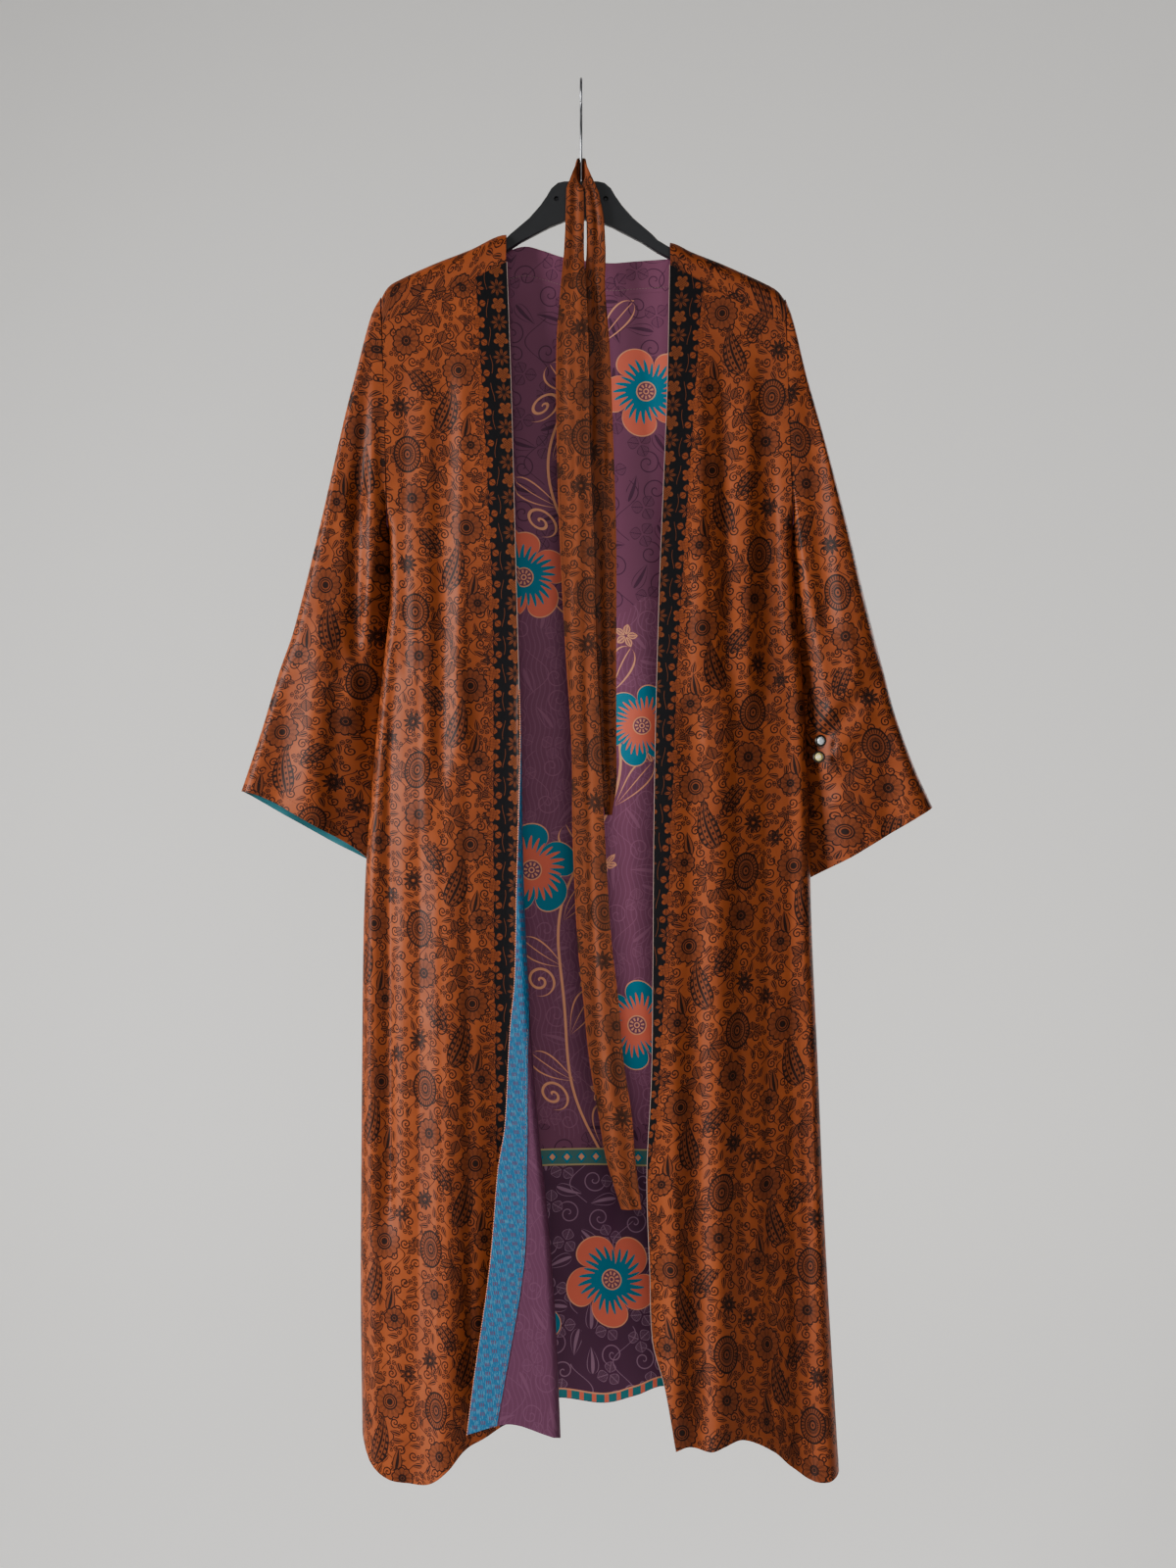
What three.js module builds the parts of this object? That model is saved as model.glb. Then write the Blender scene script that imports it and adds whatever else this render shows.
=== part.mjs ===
// A long lined kimono robe of printed silk on a plastic wardrobe hanger, with its sash.
// Millimetres. +Z is up, +Y is the back of the garment, left is -X as seen from the front.
// The origin is the inside of the hook's crown, where it rests on a rail.
// A "drop" is a distance down from the origin, so z = -drop.
import * as THREE from 'three';

// ---- driving dimensions --------------------------------------------------------------
const CLOTH = 1.2;            // wall of the outer cloth
const LINING = 1.0;           // wall of the lining and of the facings
const SEAM_GAP = 0.3;         // between two pieces that are sewn together
const SIDE_TRIM = 0.8;        // the lining ends this far inside a side seam
const TURN_TRIM = 0.6;        // and the facing and lining this far apart where they turn
const CREST = 14;             // radius of the roll over a shoulder and round a sleeve's edge
const UNDERARM_DROP = 480;
const UNDERARM_ROUND = 40;    // roll of the armhole into the side seam
const TURN_RADIUS = 6;        // roll of the left front's edge where it is turned back
const INNER_ROLL = 7;         // of a sleeve's edge that lies beside the body

// Each half's shoulder tip, underarm, and front shoulder seam where it meets neck and armhole.
const LEFT = {
  tip: { x: -213, drop: 232 },
  underarm: { x: -206, drop: UNDERARM_DROP },
  seamAtNeck: 197,
  seamAtArm: 262,
  outward: -1,
};
const RIGHT = {
  tip: { x: 217, drop: 234 },
  underarm: { x: 226, drop: UNDERARM_DROP },
  seamAtNeck: 200,
  seamAtArm: 266,
  outward: 1,
};
const YOKE_CALM = 90;         // folds grow over this much cloth below the shoulder seam
const NECK_LEFT_X = -80;
const NECK_RIGHT_X = 95;

// ---- tables, one row a section -------------------------------------------------------
function table(columns, lines) {
  return lines.map((line) => Object.fromEntries(columns.map((name, i) => [name, line[i]])));
}

// Half depth of the robe at its sides, at its front edges and at the middle of its back.
const DEPTH = table(['drop', 'side', 'edge', 'back'], [
  [160, 13.5, 13.5, 13],
  [480, 14, 25, 17],
  [800, 18, 40, 25],
  [1150, 26, 56, 34],
  [1480, 34, 69, 42],
]);

LEFT.sides = table(['drop', 'x'], [
  [480, -206], [560, -205], [630, -212], [700, -219], [770, -225], [835, -230],
  [910, -233], [1100, -235], [1300, -236], [1446, -234],
]);
RIGHT.sides = table(['drop', 'x'], [
  [480, 226], [584, 231], [638, 237], [753, 243], [909, 247], [1065, 254],
  [1168, 258], [1271, 263], [1375, 269], [1490, 276],
]);

// The front edges. On the left it is the line along which the edge is turned back.
LEFT.edge = table(['drop', 'x'], [
  [197, -79], [336, -74], [545, -68.5], [700, -64.5], [860, -61.5], [1010, -54],
  [1112, -46], [1214, -35], [1315, -27.5], [1437, -22],
]);
RIGHT.edge = table(['drop', 'x'], [
  [200, 94.5], [336, 91.5], [545, 83], [753, 77.5], [959, 75.5], [1061, 74], [1163, 69],
  [1265, 72], [1336, 75], [1380, 87], [1448, 99],
]);

// Cloth beyond the left front's turning line, measured flat, and the facing's part of it.
const TURN_BACK = table(['drop', 'cloth', 'facing'], [
  [610, 0, 20], [650, 5, 20], [700, 11, 20], [850, 18.5, 20], [955, 25, 20], [1010, 33, 20],
  [1110, 46, 24], [1160, 59, 31], [1260, 77, 37], [1360, 97, 35], [1437, 110, 31],
]);

// The hems, from the side (0) to the front edge (1), and over the back from left to right.
LEFT.hem = table(['at', 'drop'], [
  [0, 1444], [0.05, 1469], [0.13, 1485], [0.22, 1490], [0.35, 1489], [0.46, 1472],
  [0.54, 1453], [0.65, 1441], [0.78, 1427], [0.9, 1430], [1, 1435],
]);
RIGHT.hem = table(['at', 'drop'], [
  [0, 1486], [0.09, 1492], [0.19, 1490], [0.3, 1475], [0.4, 1457], [0.58, 1440],
  [0.7, 1443], [0.8, 1449], [0.92, 1444], [1, 1448],
]);
const TURNED_HEM = table(['at', 'drop'], [[0, 1435], [0.2, 1430], [0.6, 1417], [1, 1427]]);
const BACK_HEM = table(['at', 'drop'], [
  [0, 1444], [0.15, 1436], [0.4, 1421], [0.51, 1428], [0.58, 1418], [0.64, 1408],
  [0.74, 1424], [0.88, 1458], [1, 1486],
]);

// The shoulders' ridge and the back neckline.
const RIDGE = table(['x', 'drop'], [
  [-213, 232], [-209, 224.5], [-203, 218], [-161, 198], [-119, 181.5], [-80, 165],
  [95, 173.5], [119, 184], [154, 198], [200, 219], [211, 226], [217, 234],
]);
const NECKLINE = table(['x', 'drop'], [
  [-80, 179], [-60, 174], [-40, 179], [-22, 185], [0, 189], [31, 192], [60, 190], [95, 187.5],
]);

// Outer edge of each sleeve, which runs on from the shoulder, and the cuff's two ends.
LEFT.sleeve = table(['drop', 'x'], [
  [232, -214.4], [250, -224], [300, -237.5], [360, -253], [474, -279], [588, -308],
  [634, -324], [694, -342], [761, -364.5],
]);
LEFT.cuff = { outer: 761, inner: 836, lift: 9 };
RIGHT.sleeve = table(['drop', 'x'], [
  [234, 218.4], [254, 226], [314, 241], [382, 260], [472, 284], [543, 301], [606, 317],
  [631, 324], [676, 336], [734, 357], [778, 377],
]);
RIGHT.cuff = { outer: 778, inner: 856, lift: 0 };

const FOLD_START = 0.45;      // a fold's height where it starts, as a share
const FOLD_FADE = 3;          // it fades past its ends over this many widths
const FOLD_FREE_FROM = 4;     // folds start this far in from a side seam
const FOLD_FREE_OVER = 16;    // and grow over this much cloth
// A sleeve from its armhole (0) to its cuff (1): its gap to the robe's side, its half depth,
// how far its middle lies back, the roll of its inner edge, how free its folds are, and how
// much of its cuff's lift it has.
const SLEEVE_SHAPE = table(['along', 'clear', 'half', 'centre', 'roll', 'free', 'lifted'], [
  [0, 1.9, 14, 0, UNDERARM_ROUND, 0, 0], [0.1, 2.2, 14.5, 0.2, 24, 0.9, 0],
  [0.2, 2.6, 15.5, 0.5, INNER_ROLL, 1, 0], [0.4, 2.6, 17, 1.5, INNER_ROLL, 1, 0],
  [0.6, 2.6, 17, 2.5, INNER_ROLL, 1, 0], [0.8, 2.6, 15.5, 3.5, INNER_ROLL, 1, 0.5],
  [1, 2.6, 14, 4, INNER_ROLL, 1, 1],
]);
const ARMHOLE_BOW = 1.2;      // the sleeve's seam follows the armhole this much closer midway
const BACK_FOLD_SHIFT = 12;   // a sleeve's back has the front's folds, moved over and softer
const BACK_FOLD_SHARE = 0.6;

// Soft folds as ridges (height above 0) and valleys: a straight run in the front plane.
const FOLD_COLUMNS = ['x1', 'drop1', 'x2', 'drop2', 'width', 'height'];
LEFT.folds = table(FOLD_COLUMNS, [
  [-203, 620, -206, 1200, 11, -7],
  [-183, 480, -184, 1440, 15, 5],
  [-160, 700, -158, 1500, 14, -6],
  [-132, 420, -136, 1500, 17, 7],
  [-100, 560, -104, 1460, 18, -8],
  [-84, 900, -66, 1440, 16, 5],
]);
RIGHT.folds = table(FOLD_COLUMNS, [
  [97, 1040, 100, 1400, 12, 8],
  [118, 700, 128, 1470, 14, -7],
  [146, 480, 156, 1450, 17, 7],
  [176, 640, 184, 1460, 14, -8],
  [205, 420, 213, 1480, 15, 6],
  [238, 1000, 232, 1480, 11, -7],
]);
const BACK_FOLDS = table(FOLD_COLUMNS, [
  [-180, 520, -186, 1440, 24, 6],
  [-140, 600, -146, 1440, 24, -5],
  [-95, 420, -104, 1440, 26, 6],
  [-48, 640, -50, 1430, 26, -4],
  [10, 480, 14, 1430, 30, 4],
  [62, 600, 68, 1410, 26, -5],
  [112, 440, 122, 1430, 26, 6],
  [160, 600, 176, 1450, 24, -5],
  [205, 560, 224, 1470, 22, 6],
]);
LEFT.sleeveFolds = table(FOLD_COLUMNS, [
  [-223, 290, -238, 450, 8, -6],
  [-238, 450, -240, 590, 9, -8],
  [-240, 590, -230, 690, 8, -6],
  [-221, 320, -224, 560, 9, 6],
  [-262, 480, -292, 730, 15, 6],
  [-300, 640, -322, 790, 14, -5],
  [-262, 640, -270, 800, 13, -5],
]);
RIGHT.sleeveFolds = table(FOLD_COLUMNS, [
  [285, 650, 252, 695, 9, 5],
  [318, 640, 262, 700, 9, -6],
  [300, 680, 252, 745, 10, 6],
  [262, 420, 292, 620, 15, 6],
  [244, 330, 262, 560, 12, -6],
  [330, 690, 330, 790, 14, -5],
]);

// The sash: its two strands, the left one in front, from the hanger down.
const LONG_TAIL = table(['drop', 'x1', 'x2', 'y'], [
  [118, -15.5, 2.6, -11], [150, -16.5, 3.2, -12], [190, -18.6, 3.2, -15], [225, -21.8, 5.4, -20],
  [290, -26.3, 8, -22], [390, -26, 9.4, -23], [493, -22.8, 13.6, -23], [597, -17.6, 15.7, -23],
  [711, -10.3, 20.9, -24], [805, -9.2, 25, -24], [919, -4, 32.3, -25], [982, 2.2, 39.6, -25],
  [1044, 8.4, 44.8, -25], [1106, 18.8, 54, -25], [1150, 26.4, 57.4, -26], [1204, 42.6, 64, -26],
]);
const SHORT_TAIL = table(['drop', 'x1', 'x2', 'y'], [
  [122, 4.8, 18.6, -10.5], [150, 5.6, 24, -11], [187, 5.6, 26, -12], [225, 3, 25.4, -12.5],
  [290, 3, 30.5, -13], [390, 6, 34.4, -13], [493, 9, 37.5, -13], [597, 10, 37.5, -13],
  [711, 14, 37.5, -13], [753, 20, 37.5, -13], [786, 26, 32.5, -13],
]);
// Its loop behind the shank. Upper edge, then lower edge, for half of it, front to back.
const LOOP = table(['ux', 'uy', 'udrop', 'lx', 'ly', 'ldrop'], [
  [9.2, -9, 99.5, 1.5, -9.5, 114],
  [5.6, -6, 91, 4.4, -7, 109],
  [4.2, -2, 85, 5.2, -2, 107.5],
  [3.7, 2.4, 82, 4.6, 2.8, 107.5],
  [0, 4.6, 81, 0, 5.4, 107.5],
]);
const SASH_WALL = 2.2;
const SASH_COLUMNS = 5;
const SASH_RIPPLE = 1.1;      // height of its lengthwise gathers
const SASH_WAVES = 2.5;       // half waves across it
const SASH_DRIFT = 350;       // the gathers move over by a wave's half in this length

// The hanger's outline from the middle out, above and below.
const HANGER_TOP = table(['x', 'drop'], [
  [0, 108], [18, 108], [25, 109.5], [32, 115.5], [37, 124], [44, 134], [56, 147.5], [76, 164.5],
  [82, 170.8], [100, 181.6], [119, 190.2], [161, 206.5], [195, 222.8], [203, 229],
]);
const HANGER_BOTTOM = table(['x', 'drop'], [
  [203, 236], [198, 241], [161, 221], [119, 203], [81, 184], [64, 173], [33, 157], [17, 150.5],
  [0, 149],
]);
const HANGER_BODY = 10;       // front to back
const HANGER_BEVEL = 2;       // its edges are cut back this far, front to back
const HANGER_EDGE = 1;        // and this far in its outline
const PIN_HOLE = { x: 26.3, drop: 127, radius: 1.7 };

const WIRE_RADIUS = 1.6;
const CROOK_RADIUS = 20;      // to the middle of the wire
const CROOK_FROM = -50;       // degrees, seen from the right side
const CROOK_TO = 205;
const CROOK_STEP = 15;
const HOOK_STEPS = 40;        // along the wire
const SHANK_STRAIGHT = 54;    // drop at which the shank starts to bend

const STUD_RADIUS = 6.5;
const STUD_SIDES = 16;
const IN_FRONT = -200;        // y of a plane in front of the whole robe
// A ring with a stone set in it, from the middle of its foot round to the stone's table.
const STUD_PROFILE = table(['radius', 'height'], [
  [0, 0], [5.9, 0], [STUD_RADIUS, 0.7], [5.3, 2.4], [3.9, 2.2], [1.8, 3], [0, 3],
]);
const STUDS = table(['name', 'x', 'drop'], [['stud_upper', 254.5, 707], ['stud_lower', 253, 724.5]]);

const TURN_LIFT = 0.03;       // the turned cloth stands off by this share of its width
const ROLL_SHARE = 0.1;       // of a front's width, taken by the side's roll
const BACK_ROLL_SHARE = 0.05; // of the back's width, at each side
const FRONT_COLUMNS = 13;     // flat part of a front, between its side roll and its edge
const TURN_COLUMNS = 9;       // left front, free edge to just past its turn
const FACING_COLUMNS = 3;     // of these, in the facing
const TURN_LEAST = 44;        // their least width where nothing is turned
const SIDE_STEPS = [0, 30, 60, 90];                       // degrees round a side's roll
const ARM_ROWS = [0, 0.36, 0.63, 0.82, 0.9, 0.96, 1];     // front, seam to underarm
const BACK_ARM_ROWS = [0, 0.12, 0.38, 0.63, 0.82, 0.9, 0.96, 1];
const FACING_ROW = 1;         // the back row at which the neck facing ends
const SKIRT_ROWS = 12;        // underarm to hem
const NECK_COLUMNS = [0.325, 0.36, 0.41, 0.46, 0.51, 0.56, 0.61, 0.66, 0.695];
const SHOULDER_STEPS = 5;
const SLEEVE_RINGS = 12;
const SLEEVE_FLAT = 7;
const CUFF_LINING_RINGS = 2;

// ---- small maths ---------------------------------------------------------------------
const lerp = THREE.MathUtils.lerp;
const clamp = THREE.MathUtils.clamp;
const radians = THREE.MathUtils.degToRad;

function ease(value) {
  const t = clamp(value, 0, 1);
  return t * t * (3 - 2 * t);
}

// A quarter circle's height, as a share of 1, at a distance in from where it starts.
function roll(distance, radius) {
  const left = clamp(1 - distance / radius, 0, 1);
  return Math.sqrt(1 - left * left);
}

// One column of a table on a smooth curve through its rows, found by another column.
function read(rows, key, column, at) {
  const last = rows.length - 1;
  if (at <= rows[0][key]) return rows[0][column];
  if (at >= rows[last][key]) return rows[last][column];
  const i = rows.findIndex((row) => row[key] > at) - 1;
  const slope = (k) => {
    const before = rows[Math.max(k - 1, 0)];
    const after = rows[Math.min(k + 1, last)];
    return (after[column] - before[column]) / (after[key] - before[key]);
  };
  const span = rows[i + 1][key] - rows[i][key];
  const t = (at - rows[i][key]) / span;
  const start = (1 + 2 * t) * (1 - t) * (1 - t) * rows[i][column];
  const end = t * t * (3 - 2 * t) * rows[i + 1][column];
  const bend = t * (1 - t) * span * ((1 - t) * slope(i) - t * slope(i + 1));
  return start + end + bend;
}

// Height of all folds of a table at a place in the front plane.
function foldHeight(folds, x, drop) {
  let height = 0;
  for (const fold of folds) {
    const runX = fold.x2 - fold.x1;
    const runDrop = fold.drop2 - fold.drop1;
    const along = ((x - fold.x1) * runX + (drop - fold.drop1) * runDrop)
      / (runX * runX + runDrop * runDrop);
    const t = clamp(along, 0, 1);
    const pastEnd = (drop - fold.drop1 - t * runDrop) / FOLD_FADE;
    const away = Math.hypot(x - fold.x1 - t * runX, pastEnd);
    const grown = lerp(FOLD_START, 1, ease(along));
    height += fold.height * grown * Math.exp(-((away / fold.width) ** 2));
  }
  return height;
}

// ---- walls made from a grid of points ------------------------------------------------
// The grid's normals point along (next column) x (next row).
function gridNormals(grid, closed) {
  const rows = grid.length;
  const columns = grid[0].length;
  const normals = grid.map((line) => line.map(() => new THREE.Vector3()));
  const across = closed ? columns : columns - 1;
  for (let r = 0; r < rows - 1; r += 1) {
    for (let c = 0; c < across; c += 1) {
      const d = (c + 1) % columns;
      const diagonal = grid[r + 1][d].clone().sub(grid[r][c]);
      const other = grid[r + 1][c].clone().sub(grid[r][d]);
      const facing = diagonal.cross(other).normalize();
      for (const [row, column] of [[r, c], [r, d], [r + 1, d], [r + 1, c]]) {
        normals[row][column].add(facing);
      }
    }
  }
  normals.forEach((line) => line.forEach((normal) => normal.normalize()));
  return normals;
}

function surface(points, closed = false) {
  return { points, closed, normals: gridNormals(points, closed) };
}

// A closed wall between two offsets along the normals, over the cells that are kept.
function wall({ points, normals, closed }, near, far, keep = () => true) {
  const rows = points.length;
  const columns = points[0].length;
  const across = closed ? columns : columns - 1;
  const corner = ([r, c], offset) => points[r][c].clone().addScaledVector(normals[r][c], offset);
  const positions = [];
  const face = (...corners) => corners.forEach(({ x, y, z }) => positions.push(x, y, z));
  const kept = (r, c) => {
    if (r < 0 || r >= rows - 1) return false;
    if (!closed && (c < 0 || c >= across)) return false;
    return keep(r, (c + across) % across);
  };
  for (let r = 0; r < rows - 1; r += 1) {
    for (let c = 0; c < across; c += 1) {
      if (!kept(r, c)) continue;
      const d = (c + 1) % columns;
      const ring = [[r, c], [r, d], [r + 1, d], [r + 1, c]];
      const top = ring.map((place) => corner(place, far));
      const low = ring.map((place) => corner(place, near));
      face(top[0], top[1], top[3], top[1], top[2], top[3]);
      face(low[0], low[3], low[1], low[1], low[3], low[2]);
      const open = [!kept(r - 1, c), !kept(r, c + 1), !kept(r + 1, c), !kept(r, c - 1)];
      open.forEach((isOpen, side) => {
        if (!isOpen) return;
        const next = (side + 1) % 4;
        face(top[next], top[side], low[side], top[next], low[side], low[next]);
      });
    }
  }
  const geometry = new THREE.BufferGeometry();
  geometry.setAttribute('position', new THREE.Float32BufferAttribute(positions, 3));
  geometry.computeVertexNormals();
  return geometry;
}

// Part of a surface, with its cut edges drawn in so that a seam gap is left.
function cut({ points, normals, closed }, { rows, columns, trim = {} }) {
  const [firstRow, endRow] = rows ?? [0, points.length - 1];
  const [firstColumn, endColumn] = columns ?? [0, points[0].length - 1];
  const pick = (grid) => grid.slice(firstRow, endRow + 1)
    .map((line) => line.slice(firstColumn, endColumn + 1).map((vector) => vector.clone()));
  const part = pick(points);
  const drawIn = (point, inner, by) => {
    point.addScaledVector(inner.clone().sub(point).normalize(), by);
  };
  const lastRow = part.length - 1;
  const lastColumn = part[0].length - 1;
  if (trim.top) part[0].forEach((point, c) => drawIn(point, part[1][c], trim.top));
  if (trim.bottom) part[lastRow].forEach((p, c) => drawIn(p, part[lastRow - 1][c], trim.bottom));
  for (const line of part) {
    if (trim.start) drawIn(line[0], line[1], trim.start);
    if (trim.end) drawIn(line[lastColumn], line[lastColumn - 1], trim.end);
  }
  return { points: part, closed, normals: pick(normals) };
}

// ---- the body's surface --------------------------------------------------------------
function sideX(half, drop) {
  const { tip, underarm } = half;
  if (drop > underarm.drop) return read(half.sides, 'drop', 'x', drop);
  const t = clamp((drop - tip.drop) / (underarm.drop - tip.drop), 0, 1);
  return lerp(tip.x, underarm.x, t);
}

// How far the side is open for the sleeve: 1 in the armhole, 0 along the side seam.
function armholeShare(drop) {
  return roll(UNDERARM_DROP - drop, UNDERARM_ROUND);
}

// Depth from the side seam at a step of its roll, in degrees. Past 90 it is full depth.
function sideShare(degrees, drop) {
  const open = armholeShare(drop);
  return open + (1 - open) * Math.sin(radians(Math.min(degrees, 90)));
}

function dropBetween(top, hem, row, armRows = ARM_ROWS) {
  if (row < armRows.length) return lerp(top, UNDERARM_DROP, armRows[row]);
  return lerp(UNDERARM_DROP, hem, (row - armRows.length + 1) / SKIRT_ROWS);
}

// Columns of a front from its side (0) to its edge (1), with the degrees of the side's roll.
function frontColumns(rollShare) {
  const rolled = SIDE_STEPS.map((degrees) => ({
    at: rollShare * (1 - Math.cos(radians(degrees))),
    degrees,
  }));
  const flat = [];
  for (let i = 1; i <= FRONT_COLUMNS; i += 1) {
    flat.push({ at: lerp(rollShare, 1, i / FRONT_COLUMNS), degrees: 90 });
  }
  return [...rolled, ...flat];
}

function frontDrop(half, at, row) {
  const seam = lerp(half.seamAtArm, half.seamAtNeck, at) + SEAM_GAP / 2;
  return dropBetween(seam, read(half.hem, 'at', 'drop', at), row);
}

function frontY(half, x, at, degrees, drop) {
  const side = read(DEPTH, 'drop', 'side', drop);
  const edge = read(DEPTH, 'drop', 'edge', drop);
  const fromSide = Math.abs(x - sideX(half, drop));
  const freeOfSide = ease((fromSide - FOLD_FREE_FROM) / FOLD_FREE_OVER);
  const calm = freeOfSide * ease((drop - half.seamAtArm) / YOKE_CALM);
  const depth = lerp(side, edge, ease(at)) * sideShare(degrees, drop);
  return -depth - calm * foldHeight(half.folds, x, drop);
}

function frontPoint(half, column, row) {
  const drop = frontDrop(half, column.at, row);
  const x = lerp(sideX(half, drop), read(half.edge, 'drop', 'x', drop), column.at);
  const y = frontY(half, x, column.at, column.degrees, drop);
  return new THREE.Vector3(x, y - SEAM_GAP, -drop);
}

// Right front, from its side to its edge.
function rightFrontGrid() {
  const columns = frontColumns(ROLL_SHARE);
  const rows = [];
  for (let row = 0; row < ARM_ROWS.length + SKIRT_ROWS; row += 1) {
    rows.push(columns.map((column) => frontPoint(RIGHT, column, row)));
  }
  return rows;
}

// A point of the left front: its share of the flat part's width, from the side, and of the
// cloth beyond the turning line.
function leftFrontPoint(at, outside, drop, degrees) {
  const side = sideX(LEFT, drop);
  const edge = read(LEFT.edge, 'drop', 'x', drop);
  const cloth = read(TURN_BACK, 'drop', 'cloth', drop);
  const beyond = cloth * outside;
  const angle = Math.min(cloth / TURN_RADIUS, Math.PI / 2);
  const flatX = lerp(side, edge - TURN_RADIUS * Math.sin(angle), at);
  const flatY = frontY(LEFT, flatX, (flatX - side) / (edge - side), degrees, drop);
  const turned = clamp(beyond / TURN_RADIUS, 0, Math.PI);
  const straight = Math.max(beyond - Math.PI * TURN_RADIUS, 0);
  const x = flatX + TURN_RADIUS * Math.sin(turned) - straight;
  const y = flatY - TURN_RADIUS * (1 - Math.cos(turned)) - TURN_LIFT * straight;
  return new THREE.Vector3(x, y - SEAM_GAP, -drop);
}

// Left front, from its free edge over its facing, its turn and its flat part to its side.
function leftFrontGrid() {
  const rows = [];
  for (let row = 0; row < ARM_ROWS.length + SKIRT_ROWS; row += 1) {
    const nominal = frontDrop(LEFT, 1, row);
    const cloth = read(TURN_BACK, 'drop', 'cloth', nominal);
    const facing = read(TURN_BACK, 'drop', 'facing', nominal);
    const width = read(LEFT.edge, 'drop', 'x', nominal) - sideX(LEFT, nominal);
    const turnEnd = Math.max(TURN_LEAST, cloth + TURN_RADIUS);
    const flatEnd = cloth + width;
    const line = [];
    const add = (fromEdge, degrees) => {
      const at = clamp(1 - (fromEdge - cloth) / width, 0, 1);
      const outside = clamp(1 - fromEdge / Math.max(cloth, 1), 0, 1);
      const seam = lerp(LEFT.seamAtArm, LEFT.seamAtNeck, at) + SEAM_GAP / 2;
      const hem = outside > 0 ? read(TURNED_HEM, 'at', 'drop', outside)
        : read(LEFT.hem, 'at', 'drop', at);
      line.push(leftFrontPoint(at, outside, dropBetween(seam, hem, row), degrees));
    };
    for (let i = 0; i < TURN_COLUMNS; i += 1) {
      const inFacing = facing * (i / FACING_COLUMNS);
      const past = (i - FACING_COLUMNS) / (TURN_COLUMNS - FACING_COLUMNS);
      add(i < FACING_COLUMNS ? inFacing : lerp(facing, turnEnd, past), 90);
    }
    for (const column of frontColumns(ROLL_SHARE).reverse()) {
      add(lerp(flatEnd, turnEnd, column.at), column.degrees);
    }
    rows.push(line);
  }
  return rows;
}

// Columns of the back from left to right, as shares of its width.
function backColumns() {
  const rolled = SIDE_STEPS.map((degrees) => ({
    at: BACK_ROLL_SHARE * (1 - Math.cos(radians(degrees))),
    degrees,
  }));
  const neckStart = (NECK_LEFT_X - LEFT.tip.x) / (RIGHT.tip.x - LEFT.tip.x);
  const neckEnd = (NECK_RIGHT_X - LEFT.tip.x) / (RIGHT.tip.x - LEFT.tip.x);
  const columns = [...rolled];
  for (let i = 1; i < SHOULDER_STEPS; i += 1) {
    columns.push({ at: lerp(BACK_ROLL_SHARE, neckStart, i / SHOULDER_STEPS), degrees: 90 });
  }
  columns.push({ at: neckStart, degrees: 90, neck: 'start' });
  NECK_COLUMNS.forEach((at) => columns.push({ at, degrees: 90 }));
  columns.push({ at: neckEnd, degrees: 90, neck: 'end' });
  for (let i = 1; i < SHOULDER_STEPS; i += 1) {
    columns.push({ at: lerp(neckEnd, 1 - BACK_ROLL_SHARE, i / SHOULDER_STEPS), degrees: 90 });
  }
  const mirrored = rolled.map(({ at, degrees }) => ({ at: 1 - at, degrees })).reverse();
  return [...columns, ...mirrored];
}

const BACK_COLUMNS = backColumns();
const NECK_START = BACK_COLUMNS.findIndex((column) => column.neck === 'start');
const NECK_END = BACK_COLUMNS.findIndex((column) => column.neck === 'end');
// Steps over the shoulder: from the front seam, up round the ridge and down the back.
const RIDGE_STEPS = [
  { seam: true, y: -1 },
  { below: CREST, y: -1 },
  { below: CREST * (1 - Math.SQRT1_2), y: -Math.SQRT1_2 },
  { below: 0, y: 0 },
  { below: CREST * (1 - Math.SQRT1_2), y: Math.SQRT1_2 },
];

function backX(at, drop) {
  return lerp(sideX(LEFT, drop), sideX(RIGHT, drop), at);
}

function ridgePoint(column, step) {
  const tipSpan = RIGHT.tip.x - LEFT.tip.x;
  const topX = LEFT.tip.x + tipSpan * column.at;
  const half = column.at < 0.5 ? LEFT : RIGHT;
  const neckX = half === LEFT ? NECK_LEFT_X : NECK_RIGHT_X;
  const toNeck = (topX - half.tip.x) / (neckX - half.tip.x);
  const seam = lerp(half.seamAtArm, half.seamAtNeck, toNeck) - SEAM_GAP / 2;
  const drop = step.seam ? seam : read(RIDGE, 'x', 'drop', topX) + step.below;
  const depth = read(DEPTH, 'drop', 'side', drop);
  return new THREE.Vector3(backX(column.at, drop), depth * step.y, -drop);
}

function backPoint(column, row) {
  const topX = LEFT.tip.x + (RIGHT.tip.x - LEFT.tip.x) * column.at;
  const inNeck = topX > NECK_LEFT_X && topX < NECK_RIGHT_X;
  const ridge = read(RIDGE, 'x', 'drop', topX) + CREST;
  const top = inNeck ? read(NECKLINE, 'x', 'drop', topX) : ridge;
  const drop = dropBetween(top, read(BACK_HEM, 'at', 'drop', column.at), row, BACK_ARM_ROWS);
  const x = backX(column.at, drop);
  const side = read(DEPTH, 'drop', 'side', drop);
  const middle = read(DEPTH, 'drop', 'back', drop);
  const inward = Math.min(column.at, 1 - column.at) * 2;
  const depth = lerp(side, middle, ease(inward)) * sideShare(column.degrees, drop);
  const calm = ease(inward / (3 * BACK_ROLL_SHARE)) * ease((drop - LEFT.seamAtArm) / YOKE_CALM);
  return new THREE.Vector3(x, depth + calm * foldHeight(BACK_FOLDS, x, drop) + SEAM_GAP, -drop);
}

function backGrid() {
  const rows = RIDGE_STEPS.map((step) => BACK_COLUMNS.map((column) => ridgePoint(column, step)));
  for (let row = 0; row < BACK_ARM_ROWS.length + SKIRT_ROWS; row += 1) {
    rows.push(BACK_COLUMNS.map((column) => backPoint(column, row)));
  }
  return rows;
}

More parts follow.
